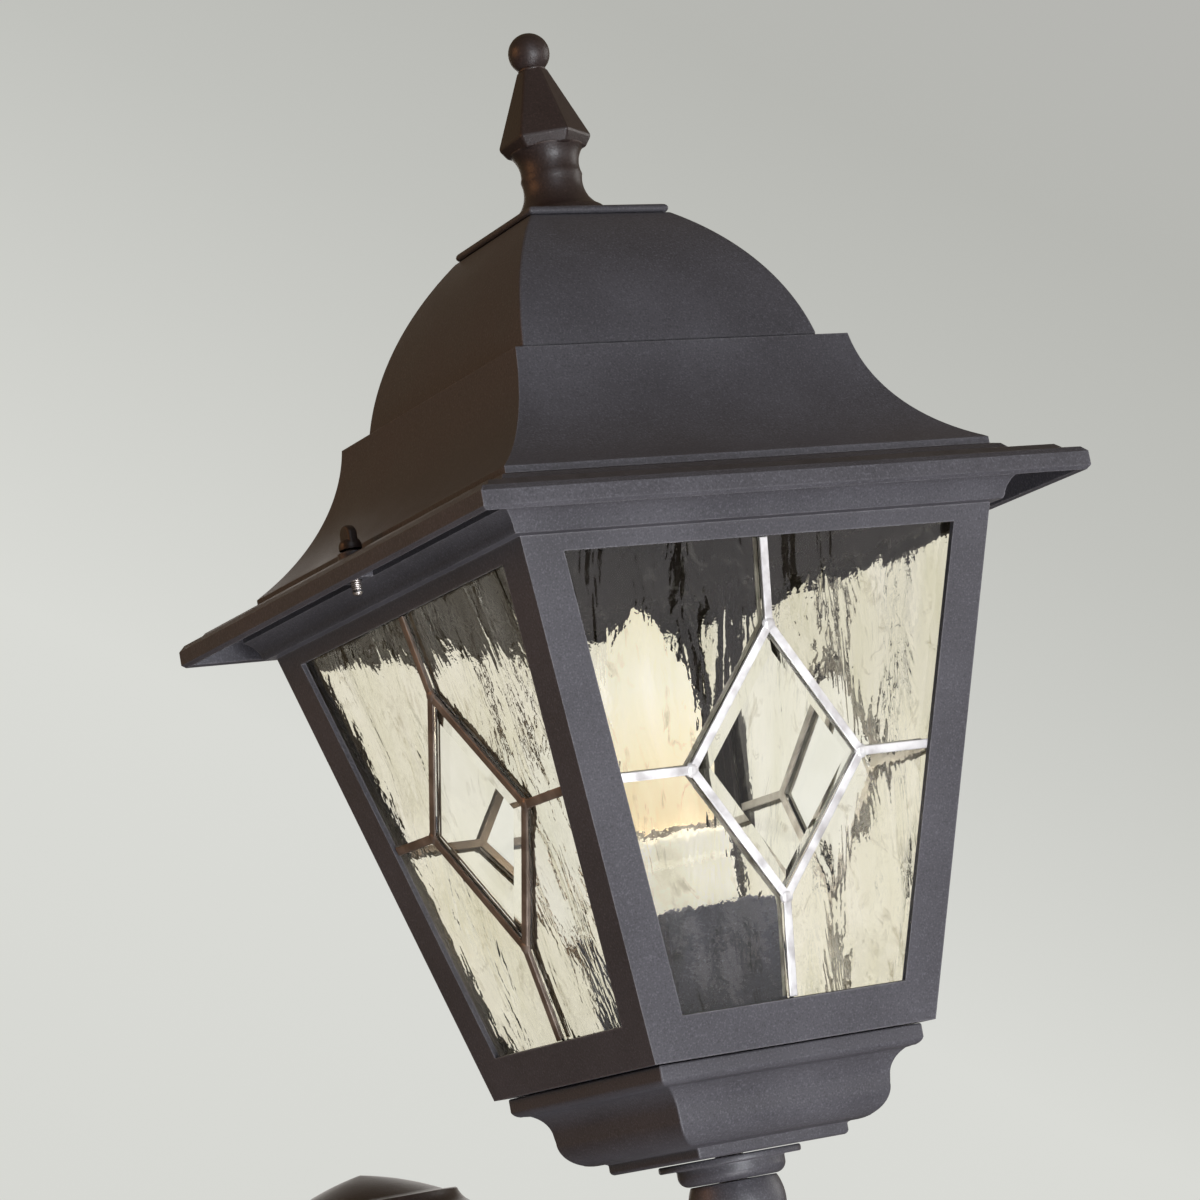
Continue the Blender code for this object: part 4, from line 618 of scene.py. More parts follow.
def make_thumbscrew(name, side):
    node = "thumbscrew_" + name
    seat_z = 0.0070 + GAP
    tip_z = low_of(node) - EAVE_Z
    head_z = seat_z + 0.0042
    points = [(0, head_z), (0.0030, head_z)]
    points += bow((0.0032, head_z), (0.0040, seat_z + 0.0008), 0.12, 4)
    points += [(0.0040, seat_z), (0.0019, seat_z)]
    turn_z = seat_z
    while turn_z - 0.0014 > tip_z + 0.001:
        points += [(0.00195, turn_z - 0.0004), (0.0017, turn_z - 0.0007)]
        turn_z -= 0.0007
    points += [(0.0019, tip_z + 0.0008), (0.0012, tip_z), (0, tip_z)]
    at = LANTERN @ shift(side * SCREW_X, 0, 0)
    half = 0.0038
    crown_z = high_of(node) - EAVE_Z
    spade = [(-half, seat_z + 0.002), (half, seat_z + 0.002), (half, crown_z - 0.003)]
    spade += bow((half, crown_z - 0.003), (-half, crown_z - 0.003), -0.38, 10)[1:]
    spade = [(x, min(z, crown_z)) for x, z in spade]
    upright = Matrix.Rotation(math.pi / 2, 4, "Z") @ Matrix.Rotation(math.pi / 2, 4, "X")
    head = together((turned(points[:7], steps=40), Matrix.Identity(4)), (flat_mesh([spade], 0.0034, 0.0009), upright))
    shank = turned([(0, seat_z + 0.001)] + points[7:], steps=32)
    body = "screw_" + name
    piece("thumbscrew_head_" + name, head, BRONZE, body, [node], at=at, edge=0.0003)
    piece("thumbscrew_shank_" + name, shank, STEEL, body, at=at, edge=0)


# ================================================================ lantern frame and glazing
def face_turn(face):
    """The plane of one side of the frame: X across it, Y up its slope, Z out of it."""
    turn = Matrix.Rotation(face * math.pi / 2, 4, "Z")
    lean = Matrix.Rotation(math.pi / 2 + TAPER, 4, "X")
    return turn @ shift(0, -FRAME_FOOT_HALF, FRAME_FOOT_Z) @ lean


def side_half(rise):
    return FRAME_FOOT_HALF + rise * math.sin(TAPER)


def opening(margin):
    low = SILL_RAIL - margin
    high = SLOPE_LENGTH - HEAD_RAIL + margin
    low_half = side_half(low) - STILE + margin
    high_half = side_half(high) - STILE + margin
    return [(-low_half, low), (low_half, low), (high_half, high), (-high_half, high)]


def make_lantern_frame():
    cornice = FRAME_TOP_HALF + CORNICE_REACH
    top_z = FRAME_TOP_Z
    inner_foot = FRAME_FOOT_HALF + FLOOR_THICK * math.tan(TAPER) - FRAME_WALL
    points = [
        (0.0053, FLOOR_Z),
        (inner_foot, FLOOR_Z),
        (FRAME_TOP_HALF - FRAME_WALL, -CORNICE_DROP),
        (FRAME_TOP_HALF - FRAME_WALL, top_z),
        (cornice, top_z),
        (cornice, top_z - 0.0016),
    ]
    lip_half = FRAME_TOP_HALF + CORNICE_LIP
    points += bow((cornice, top_z - 0.0030), (lip_half + 0.0006, top_z - 0.0098), -0.10, 8)
    points += [
        (lip_half, -CORNICE_DROP + 0.0003),
        (FRAME_TOP_HALF, -CORNICE_DROP),
        (FRAME_FOOT_HALF, FRAME_FOOT_Z),
        (0.0053, FRAME_FOOT_Z),
    ]
    changes = []
    for face in range(4):
        changes.append(("DIFFERENCE", flat_mesh([opening(0)], 0.010), face_turn(face)))
        behind = face_turn(face) @ shift(0, 0, -LIP_THICK - 0.006)
        changes.append(("DIFFERENCE", flat_mesh([opening(REBATE + GAP)], 0.012), behind))
    for side in (-1, 1):
        at = shift(side * SCREW_X, 0, 0)
        low_z = top_z - 0.003
        inner = FRAME_TOP_HALF + 0.001 - SCREW_X
        ends = sorted((side * inner, 0))
        changes.append(("UNION", rod_mesh(0.0064, low_z, top_z), at))
        changes.append(("UNION", box_mesh((ends[0], -0.0064, low_z), (ends[1], 0.0064, top_z)), at))
        changes.append(("DIFFERENCE", rod_mesh(0.0023, low_z - 0.003, top_z + 0.003), at))
    mesh = combined(squared(points, True), *changes)
    piece("lantern_frame_casting", mesh, POWDER, "post", ["lantern_frame"], edge=0.0005)


def diamond(offset):
    side = DIAMOND_HALF_WIDTH * DIAMOND_HALF_HEIGHT / math.hypot(DIAMOND_HALF_WIDTH, DIAMOND_HALF_HEIGHT)
    scale = 1 + offset / side
    return DIAMOND_HALF_WIDTH * scale, DIAMOND_HALF_HEIGHT * scale


def came_outlines(half, short=0.0):
    low = SILL_RAIL + GAP + short
    high = SLOPE_LENGTH - HEAD_RAIL - GAP - short
    width, height = diamond(half)
    rise = height * (1 - half / width)
    run = width * (1 - half / height)
    middle = DIAMOND_RISE
    right = [
        (half, low),
        (half, middle - rise),
        (run, middle - half),
        (side_half(middle - half) - STILE - GAP - short, middle - half),
        (side_half(middle + half) - STILE - GAP - short, middle + half),
        (run, middle + half),
        (half, middle + rise),
        (half, high),
    ]
    left = [(-x, y) for x, y in reversed(right)]
    width, height = diamond(-half)
    hole = [(width, middle), (0, middle + height), (-width, middle), (0, middle - height)]
    return [right + left, hole]


def solder_pad():
    """A low round dab where two cames meet."""
    return turned(bow((0, 0.0005), (0.0026, -0.0004), 0.16, 6) + [(0, -0.0004)], steps=28)


def make_glazing():
    front_z = -LIP_THICK - GAP
    back_z = front_z - GLASS_THICK
    leaf = flat_mesh(came_outlines(CAME_WIDTH / 2), LEAF_THICK, 0.0004)
    heart = flat_mesh(came_outlines(CAME_HEART / 2, 0.0004), GLASS_THICK + 2 * GAP + LEAF_THICK)
    front_leaf = front_z + GAP + LEAF_THICK / 2
    back_leaf = back_z - GAP - LEAF_THICK / 2
    parts = [(leaf, shift(0, 0, front_leaf)), (leaf, shift(0, 0, back_leaf))]
    parts.append((heart, shift(0, 0, (front_z + back_z) / 2)))
    width, height = DIAMOND_HALF_WIDTH, DIAMOND_HALF_HEIGHT
    for x, y in ((0, height), (0, -height), (width, 0), (-width, 0)):
        parts.append((solder_pad(), shift(x, DIAMOND_RISE + y, front_leaf + LEAF_THICK / 2 - 0.0002)))
    lattice = together(*parts)
    for face in range(4):
        number = str(face + 1)
        # front and right lattices take the pale lead, painted light; back and left take the dark brown copy, painted
        # shade
        finish = LEAD if face in (0, 1) else SHADED_LEAD_COPY
        mesh = lattice.copy()
        mesh.transform(face_turn(face))
        piece("came_lattice_" + number, mesh, finish, "post", ["lead_came_" + number], edge=0, angle=40)
        for corner, across, up in (("lower_left", -1, -1), ("lower_right", 1, -1), ("upper_right", 1, 1), ("upper_left", -1, 1)):
            mesh = rippled_pane(across, up, face)
            mesh.transform(face_turn(face) @ shift(0, 0, front_z - GLASS_THICK / 2))
            node = "water_glass_" + corner + "_" + number
            piece("rippled_" + node, mesh, WATER, "post", [node], edge=0, angle=60)
        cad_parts["diamond_glass_" + number].data.materials.clear()
        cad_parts["diamond_glass_" + number].data.materials.append(CLEAR)


def rippled_pane(across, up, face):
    """A cast pane: its outline cut into a fine grid, both its faces waved, the front more than the back."""
    edge = CAME_HEART / 2 + GAP
    width, height = diamond(edge)
    rise = height * (1 - edge / width)
    run = width * (1 - edge / height)
    end = opening(REBATE)[2][1] if up > 0 else opening(REBATE)[0][1]
    middle = DIAMOND_RISE + up * edge
    reach = REBATE - STILE
    points = [
        (edge, end),
        (side_half(end) + reach, end),
        (side_half(middle) + reach, middle),
        (run, middle),
        (edge, DIAMOND_RISE + up * rise),
    ]
    shape = bmesh.new()
    corners = [shape.verts.new((across * x, y, 0)) for x, y in points]
    shape.faces.new(corners)
    step = 0.0028
    low_y, high_y = min(p[1] for p in points), max(p[1] for p in points)
    low_x, high_x = (edge, side_half(high_y)) if across > 0 else (-side_half(high_y), -edge)
    for axis, low, high in ((0, low_x, high_x), (1, low_y, high_y)):
        place = low + step
        while place < high:
            point = Vector((place, 0, 0)) if axis == 0 else Vector((0, place, 0))
            normal = Vector((1, 0, 0)) if axis == 0 else Vector((0, 1, 0))
            everything = shape.verts[:] + shape.edges[:] + shape.faces[:]
            bmesh.ops.bisect_plane(shape, geom=everything, plane_co=point, plane_no=normal)
            place += step
    front = bpy.data.meshes.new("pane")
    bmesh.ops.recalc_face_normals(shape, faces=shape.faces)
    if shape.faces[:][0].normal.z < 0:
        bmesh.ops.reverse_faces(shape, faces=shape.faces)
    half = GLASS_THICK / 2 - 0.0007
    rim = {v for e in shape.edges if e.is_boundary for v in e.verts}
    flat = bmesh.ops.duplicate(shape, geom=shape.verts[:] + shape.edges[:] + shape.faces[:])
    back_verts = [g for g in flat["geom"] if isinstance(g, bmesh.types.BMVert)]
    back_faces = [g for g in flat["geom"] if isinstance(g, bmesh.types.BMFace)]
    back_set = set(back_verts)
    match = {v: flat["vert_map"][v] for v in rim}
    bmesh.ops.reverse_faces(shape, faces=back_faces)
    for v in shape.verts:
        back = v in back_set
        seed = Vector((v.co.x * 34 + face * 7.3, v.co.y * 13 + up * 3.1, 4.7 if back else 1.3))
        wave = noise.noise(seed) + 0.45 * noise.noise(seed * 2.7)
        lift = max(-0.0007, min(0.0007, 0.0011 * wave * (0.5 if back else 1.0)))
        v.co.z = -half - lift if back else half + lift
    sides = [e for e in shape.edges if e.is_boundary and e.verts[0] not in back_set]
    for e in sides:
        a, b = e.verts
        face_of = e.link_faces[0]
        order = [loop_.vert for loop_ in face_of.loops]
        first = order.index(a)
        if order[(first + 1) % len(order)] == b:
            a, b = b, a
        shape.faces.new((a, b, match[b], match[a]))
    shape.to_mesh(front)
    shape.free()
    return front


# ================================================================ lantern base, neck and lamp
def make_base_moulding():
    top = FRAME_FOOT_HALF - 0.0035
    fillet_z = BASE_TOP_Z - 0.0047
    ledge = top - 0.0048
    waist = top - 0.0099
    plate_z = BASE_FOOT_Z + 0.0042
    seat = 0.0308
    points = [(0.0053, plate_z + 0.002), (waist - 0.012, plate_z + 0.002)]
    points += [(waist - 0.003, plate_z + 0.011), (waist - 0.003, BASE_TOP_Z - 0.012)]
    points += [(top - 0.003, BASE_TOP_Z - 0.004), (top - 0.003, BASE_TOP_Z), (top, BASE_TOP_Z)]
    points += bow((top, fillet_z), (ledge + 0.0014, fillet_z - 0.0023), 0.18, 6)
    points += bow((ledge, fillet_z - 0.0026), (waist, BASE_TOP_Z - 0.0157), -0.125, 12)
    points += bow((waist - 0.0003, BASE_TOP_Z - 0.0180), (waist - 0.0100, plate_z), 0.20, 16)
    points += [(seat, plate_z), (seat, BASE_FOOT_Z + 0.0014)]
    points += bow((seat, BASE_FOOT_Z + 0.0014), (seat - 0.0014, BASE_FOOT_Z), 0.2, 3)[1:]
    points.append((0.0053, BASE_FOOT_Z))
    piece("base_moulding_casting", squared(points, True), POWDER, "post", ["base_moulding"], edge=0.0007)


def make_neck():
    bore = 0.0053
    step_z = COLLAR_Z - 0.0024
    foot_z = low_of("neck_collar") - EAVE_Z
    points = [(bore, COLLAR_Z), (0.0248, COLLAR_Z)]
    points += bow((0.0248, COLLAR_Z), (0.0248, step_z), 0.12, 4)[1:]
    points += [(0.019, step_z)]
    points += bow((0.019, step_z - 0.0025), (0.0155, foot_z), 0.18, 8)
    points.append((bore, foot_z))
    piece("neck_collar_turned", turned(points, True), POWDER, "post", ["neck_collar"], edge=0.0004)

    radius = 0.0152
    waist = radius * 0.72
    foot = half_of("lamp_neck")
    length = NECK_TOP_Z - NECK_FOOT_Z
    bulge_z = NECK_TOP_Z - length * 0.48
    waist_z = NECK_TOP_Z - length * 0.70
    spigot_z = low_of("lamp_neck") - EAVE_Z
    points = [(bore, NECK_TOP_Z)]
    points += bow((radius, NECK_TOP_Z), (radius * 0.93, bulge_z), 0.13, 14)
    points += bow((radius * 0.93, bulge_z), (waist, waist_z), -0.14, 8)[1:]
    points += bow((waist, waist_z), (foot - 0.0015, NECK_FOOT_Z + 0.0045), -0.16, 8)[1:]
    points += bow((foot - 0.0004, NECK_FOOT_Z + 0.0037), (foot - 0.0006, NECK_FOOT_Z), 0.12, 4)
    points += [(0.0108, NECK_FOOT_Z), (0.0108, spigot_z), (bore, spigot_z)]
    piece("lamp_neck_turned", turned(points, True), POWDER, "post", ["lamp_neck"], edge=0.0003)


def make_lamp():
    low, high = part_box("lampholder_pedestal")
    low_z, high_z = low.z - EAVE_Z, high.z - EAVE_Z
    half = half_of("lampholder_pedestal")
    wall = 0.0025
    shell = box_mesh((-half, -half, low_z), (half, half, high_z))
    hollow = box_mesh((-half + wall, -half + wall, low_z - 0.01), (half - wall, half - wall, high_z - wall))
    mesh = combined(shell, ("DIFFERENCE", hollow, Matrix.Identity(4)))
    piece("pedestal_pressing", mesh, ENAMEL, "post", ["lampholder_pedestal"], edge=0.003, steps=4)

    seat_z = low_of("lampholder") - EAVE_Z
    rim_z = high_of("lampholder") - EAVE_Z
    bore = 0.0138
    radius = half_of("lampholder")
    points = [(0, seat_z + 0.003), (bore, seat_z + 0.003), (bore, rim_z)]
    points += bow((radius - 0.004, rim_z), (radius - 0.001, rim_z - 0.005), 0.2, 5)
    points += [(radius - 0.001, rim_z - 0.009), (radius - 0.002, rim_z - 0.0095), (radius - 0.002, rim_z - 0.011)]
    points += [(radius, rim_z - 0.0115), (radius, seat_z), (0, seat_z)]
    piece("lampholder_porcelain", turned(points, steps=64), PORCELAIN, "post", ["lampholder"], edge=0.0005)

    cap_low, cap_high = low_of("bulb_cap") - EAVE_Z, high_of("bulb_cap") - EAVE_Z
    points = [(0, cap_high), (0.0128, cap_high)]
    turn_z = cap_high - 0.002
    while turn_z - 0.0036 > cap_low + 0.004:
        points += [(0.0132, turn_z - 0.0009), (0.0122, turn_z - 0.0027)]
        turn_z -= 0.0036
    points += [(0.0125, cap_low + 0.0045), (0.005, cap_low), (0, cap_low)]
    piece("bulb_cap_thread", turned(points, steps=48), STEEL, "lamp", ["bulb_cap"], edge=0.0002)

    glass_z, tip_z = low_of("bulb_glass") - EAVE_Z, high_of("bulb_glass") - EAVE_Z
    shoulder = (0.019, glass_z + (tip_z - glass_z) * 0.42)
    points = bow((0, tip_z), shoulder, 0.11, 20)
    points += bow(shoulder, (0.0124, glass_z), 0.08, 10)[1:]
    points.append((0, glass_z))
    bulb = piece("bulb_glass_blown", turned(points, steps=48), LAMP, "lamp", ["bulb_glass"], edge=0)
    bulb.visible_shadow = False


# ================================================================ arm, sleeve and scroll
ARM_Z = (low_of("arm_sleeve") + high_of("arm_sleeve")) / 2
WORLD = Matrix.Identity(4)
ARM_RADIUS = half_of("bracket_arm")
BEND_RADIUS = 0.100
BOSS_REACH = 0.040


def make_bracket_arm():
    low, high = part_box("bracket_arm")
    route = [(0, high.y, ARM_Z)]
    for i in range(25):
        angle = math.pi / 2 * i / 24
        y = LANTERN_Y + BEND_RADIUS * (1 - math.sin(angle))
        route.append((0, y, ARM_Z + BEND_RADIUS * (1 - math.cos(angle))))
    route.append((0, LANTERN_Y, high.z))
    outer = tube_mesh(route, ARM_RADIUS - 0.0001, 14)
    piece("bracket_arm_tube", outer, POWDER, "post", ["bracket_arm"], at=WORLD, edge=0, angle=40)


def make_arm_sleeve():
    half = (high_of("arm_sleeve") - low_of("arm_sleeve")) / 2
    outer = half_of("arm_sleeve")
    inside = SHAFT_RADIUS + GAP
    points = [(inside, half), (outer - 0.004, half)]
    points += bow((outer - 0.001, half - 0.002), (outer - 0.001, half - 0.010), 0.22, 8)
    points += [(outer - 0.0025, half - 0.011), (outer - 0.0025, -half + 0.011)]
    points += bow((outer - 0.001, -half + 0.010), (outer - 0.001, -half + 0.002), 0.22, 8)
    points += [(outer - 0.004, -half), (inside, -half)]
    forward = lying((0, 0, 0), (0, -1, 0))
    reach = SHAFT_RADIUS + BOSS_REACH
    boss = [(0, reach), (ARM_RADIUS + 0.004, reach)]
    boss += bow((0.0215, reach - 0.001), (0.0215, reach - 0.009), 0.2, 6)
    boss += [(0.0195, reach - 0.0105), (0.0195, SHAFT_RADIUS + 0.013)]
    boss += bow((0.0195, SHAFT_RADIUS + 0.013), (0.0235, SHAFT_RADIUS + 0.004), -0.15, 6)[1:]
    boss += [(0.0235, SHAFT_RADIUS * 0.8), (0, SHAFT_RADIUS * 0.8)]
    mesh = combined(
        turned(points, True),
        ("UNION", turned(boss, steps=56), forward),
        ("DIFFERENCE", rod_mesh(inside - 0.0001, -half - 0.005, half + 0.005, 72), Matrix.Identity(4)),
        ("DIFFERENCE", rod_mesh(ARM_RADIUS + GAP, reach - 0.028, reach + 0.005, 56), forward),
    )
    piece("arm_sleeve_casting", mesh, POWDER, "post", ["arm_sleeve"], at=shift(0, 0, ARM_Z), edge=0.0005)


def curl(start, heading, turn, steps):
    y, z = start
    points = []
    angle_step = math.radians(500) / steps
    for i in range(steps):
        radius = 0.030 * (0.007 / 0.030) ** (i / steps)
        heading += turn * angle_step / 2
        y += radius * angle_step * math.cos(heading)
        z += radius * angle_step * math.sin(heading)
        heading += turn * angle_step / 2
        points.append((y, z))
    return points


def make_bracket_scroll():
    """A flat bar bent on edge into two eyes, each closed by a turned button."""
    low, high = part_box("bracket_scroll")
    thick = 0.007
    half = thick / 2
    foot_y = -(SHAFT_RADIUS + GAP + half)
    foot_z = ARM_Z - 0.235
    top_z = ARM_Z - ARM_RADIUS - GAP - half
    run = -LANTERN_Y - BEND_RADIUS + foot_y - 0.004
    middle = []
    for i in range(37):
        angle = math.pi / 2 * i / 36
        middle.append((foot_y - run * (1 - math.cos(angle)), foot_z + (top_z - foot_z) * math.sin(angle)))
    upper = curl(middle[-1], math.pi, 1, 72)
    lower = curl(middle[0], -math.pi / 2, -1, 72)
    line = list(reversed(lower)) + middle + upper
    left, right = [], []
    for i, point in enumerate(line):
        along = (Vector(line[min(i + 1, len(line) - 1)]) - Vector(line[max(i - 1, 0)])).normalized()
        out = Vector((-along.y, along.x)) * half
        left.append(tuple(Vector(point) + out))
        right.append(tuple(Vector(point) - out))
    strip = flat_mesh([left + right[::-1]], high.x - low.x, 0.0009)
    upright = Matrix(((0, 0, 1, 0), (1, 0, 0, 0), (0, 1, 0, 0), (0, 0, 0, 1)))
    piece("bracket_scroll_bar", strip, BRONZE, "post", ["bracket_scroll"], at=upright, edge=0, angle=50)
    across = lying((0, 0, 0), (1, 0, 0))
    for name, end in (("upper", line[-1]), ("lower", line[0])):
        button = bow((0, 0.0098), (0.0052, 0.0070), 0.14, 6) + [(0.0052, -0.0070)]
        button += bow((0.0052, -0.0070), (0, -0.0098), 0.14, 6)[1:]
        place = shift(0, end[0], end[1]) @ across
        piece("scroll_button_" + name, turned(button, steps=32), BRONZE, "post", at=place, edge=0)


# ================================================================ post
def make_post():
    radius = SHAFT_RADIUS
    inner = radius - 0.0035
    top, foot = high_of("shaft_upper"), low_of("shaft_upper")
    mesh = turned([(inner, top), (radius, top), (radius, foot), (inner, foot)], True, 96)
    piece("shaft_upper_tube", mesh, POWDER, "post", ["shaft_upper"], at=WORLD, edge=0.0004)

    bore = radius + GAP
    ring_z, ring_top = low_of("shaft_ring"), high_of("shaft_ring")
    wide = half_of("shaft_lower") - 0.018
    points = [(bore, ring_top), (radius + 0.004, ring_top)]
    points += bow((radius + 0.005, ring_top - 0.004), (wide - 0.001, ring_top - 0.020), -0.15, 12)
    points += bow((wide, ring_top - 0.021), (wide, ring_z + 0.008), 0.33, 18)
    points += [(wide + 0.001, ring_z + 0.007), (wide + 0.001, ring_z), (bore, ring_z)]
    piece("shaft_ring_turned", turned(points, True, 96), BRONZE, "post", ["shaft_ring"], at=WORLD, edge=0.0006)

    cap_top, cap_foot = high_of("post_cap"), low_of("post_cap")
    edge = half_of("post_cap") - 0.0009
    under = cap_top - 0.024
    points = bow((0, cap_top), (radius - 0.005, cap_top - 0.0112), 0.035, 16)
    points += [(radius + 0.0006, cap_top - 0.0115)]
    points += bow((radius + 0.0010, cap_top - 0.0120), (edge - 0.001, cap_top - 0.0190), -0.12, 8)
    points += bow((edge - 0.0006, cap_top - 0.0195), (edge - 0.003, cap_foot), 0.14, 12)
    points += [(bore, cap_foot), (bore, under), (0, under)]
    piece("post_cap_turned", turned(points, steps=96), BRONZE, "post", ["post_cap"], at=WORLD, edge=0.0005)


def make_shaft_lower():
    node = "shaft_lower"
    radius, top_z, foot_z = SHAFT_RADIUS, high_of(node), low_of(node)
    foot, top, bore = radius + 0.017, radius + 0.012, radius + GAP
    points = [(bore, top_z), (top, top_z), (top, top_z - 0.012), (foot, foot_z + 0.040)]
    points += bow((foot, foot_z + 0.040), (foot + 0.007, foot_z + 0.022), -0.2, 8)[1:]
    points += bow((foot + 0.007, foot_z + 0.020), (foot + 0.007, foot_z), 0.28, 14)
    points.append((bore, foot_z))
    low_z, high_z = foot_z + 0.075, top_z - 0.035
    share = (foot - top) / (top_z - foot_z - 0.052)
    out = 0.0062 - 0.0028
    flute_radius = 0.0062
    length = high_z - low_z
    capsule = bow((0, length / 2), (flute_radius, length / 2 - flute_radius), 0.207, 6)
    capsule += bow((flute_radius, -length / 2 + flute_radius), (0, -length / 2), 0.207, 6)
    capsule_mesh = turned(capsule, steps=20)
    parts = []
    for i in range(12):
        turn = Matrix.Rotation(2 * math.pi * (i + 0.5) / 12, 3, "Z")
        low = turn @ Vector((foot - share * (low_z - foot_z - 0.040) + out, 0, low_z))
        high = turn @ Vector((foot - share * (high_z - foot_z - 0.040) + out, 0, high_z))
        parts.append((capsule_mesh, lying((low + high) / 2, (high - low).normalized())))
    mesh = combined(turned(points, True, 96), ("DIFFERENCE", together(*parts), Matrix.Identity(4)))
    piece("shaft_lower_fluted", mesh, POWDER, "post", [node], at=WORLD, edge=0.0005, angle=28)


def make_plinth():
    node = "plinth"
    low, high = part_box(node)
    foot_half, foot_z = half_of(node), low.z
    top_z = low_of("shaft_lower") - GAP
    face, wall, cap = foot_half - 0.015, 0.005, foot_half - 0.028
    points = [(cap - 0.04, top_z), (cap, top_z), (cap, top_z - 0.006)]
    points += bow((cap, top_z - 0.008), (face + 0.006, top_z - 0.046), -0.16, 16)
    points += [(face + 0.007, top_z - 0.050), (face + 0.007, top_z - 0.062)]
    points += bow((face + 0.006, top_z - 0.064), (face, top_z - 0.075), -0.2, 8)
    points.append((face, foot_z + 0.055))
    points += bow((face, foot_z + 0.055), (foot_half - 0.004, foot_z + 0.034), -0.2, 12)[1:]
    points += [(foot_half, foot_z + 0.032), (foot_half, foot_z)]
    points += [(face - wall, foot_z), (face - wall, top_z - 0.048), (cap - wall, top_z - 0.008), (cap - 0.04, top_z - 0.006)]
    door_low, door_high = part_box("access_door")
    left, right = -0.055, 0.055
    front = -face
    recess = box_mesh((left - GAP, front - 0.01, door_low.z - GAP), (right + GAP, front + 0.0033, door_high.z + GAP))
    doorway_low = (left + 0.007, front - 0.01, door_low.z + 0.007)
    doorway = box_mesh(doorway_low, (right - 0.0064, front + 0.02, door_high.z - 0.007))
    cuts = [("DIFFERENCE", recess, WORLD), ("DIFFERENCE", doorway, WORLD)]
    panel_low, panel_high = foot_z + 0.075, top_z - 0.095
    inset = face - 0.022
    for turn in (1, 2, 3):
        at = Matrix.Rotation(turn * math.pi / 2, 4, "Z")
        panel = box_mesh((-inset, -face - 0.01, panel_low), (inset, -face + 0.0015, panel_high))
        cuts.append(("DIFFERENCE", panel, at))
        raised_low = (-inset + 0.008, -face + 0.0001, panel_low + 0.008)
        raised = box_mesh(raised_low, (inset - 0.008, -face + 0.003, panel_high - 0.008))
        cuts.append(("UNION", raised, at))
    mesh = combined(squared(points, True), *cuts)
    piece("plinth_casting", mesh, POWDER, "post", [node], at=WORLD, edge=0.0009)

    ring = turned([(0.033, high.z), (SHAFT_RADIUS, high.z), (SHAFT_RADIUS, top_z - 0.002), (0.033, top_z - 0.002)], True, 72)
    piece("plinth_spigot_ring", ring, POWDER, "post", at=WORLD, edge=0.0006)
    hinge_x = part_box("door_hinge_pin")[0].x + half_of("door_hinge_pin")
    hinge_y = (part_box("door_hinge_pin")[0].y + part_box("door_hinge_pin")[1].y) / 2
    for name, low_z in zip(("lower", "upper"), knuckle_levels()):
        level = low_z + KNUCKLE_LENGTH + GAP
        rings = [(0.0021, level + KNUCKLE_LENGTH * 0.7), (0.004, level + KNUCKLE_LENGTH * 0.7), (0.004, level), (0.0021, level)]
        at = shift(hinge_x, hinge_y, 0)
        piece("plinth_knuckle_" + name, turned(rings, True, 32), POWDER, "post", at=at, edge=0.0004)


KNUCKLE_LENGTH = 0.028


def knuckle_levels():
    low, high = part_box("access_door")
    return low.z + 0.022, high.z - 0.022 - KNUCKLE_LENGTH * 1.7


def make_access_door():
    low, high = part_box("access_door")
    axis_x = -0.059
    axis_y = -(half_of("plinth") - 0.015) - 0.003
    front = axis_y + 0.003
    left, right = -0.055, high.x
    height = high.z - low.z
    panel = box_mesh((left, front, low.z), (right, front + 0.003, high.z))
    changes = []
    for low_z in knuckle_levels():
        high_z = low_z + KNUCKLE_LENGTH
        strap = box_mesh((axis_x, axis_y - 0.0015, low_z), (axis_x + 0.018, front - GAP, high_z))
        root = box_mesh((left + 0.001, axis_y, low_z + 0.001), (axis_x + 0.017, front + 0.001, high_z - 0.001))
        changes.append(("UNION", strap, WORLD))
        changes.append(("UNION", root, WORLD))
        changes.append(("UNION", rod_mesh(0.004, low_z, high_z, 32), shift(axis_x, axis_y, 0)))
        changes.append(("DIFFERENCE", rod_mesh(0.0021, low_z - 0.001, high_z + 0.001, 24), shift(axis_x, axis_y, 0)))
    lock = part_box("door_lock")
    lock_x, lock_z = (lock[0].x + lock[1].x) / 2, low.z + height / 2
    lock_at = lying((lock_x, front, lock_z), (0, -1, 0))
    changes.append(("DIFFERENCE", rod_mesh(0.0063, -0.02, 0.02, 40), lock_at))
    margin = 0.020
    field = box_mesh((left + margin, front - 0.01, low.z + margin), (right - margin - 0.006, front + 0.0007, high.z - margin))
    changes.append(("DIFFERENCE", field, WORLD))
    piece("access_door_panel", combined(panel, *changes), POWDER, "door", ["access_door"], at=WORLD, edge=0.0005)


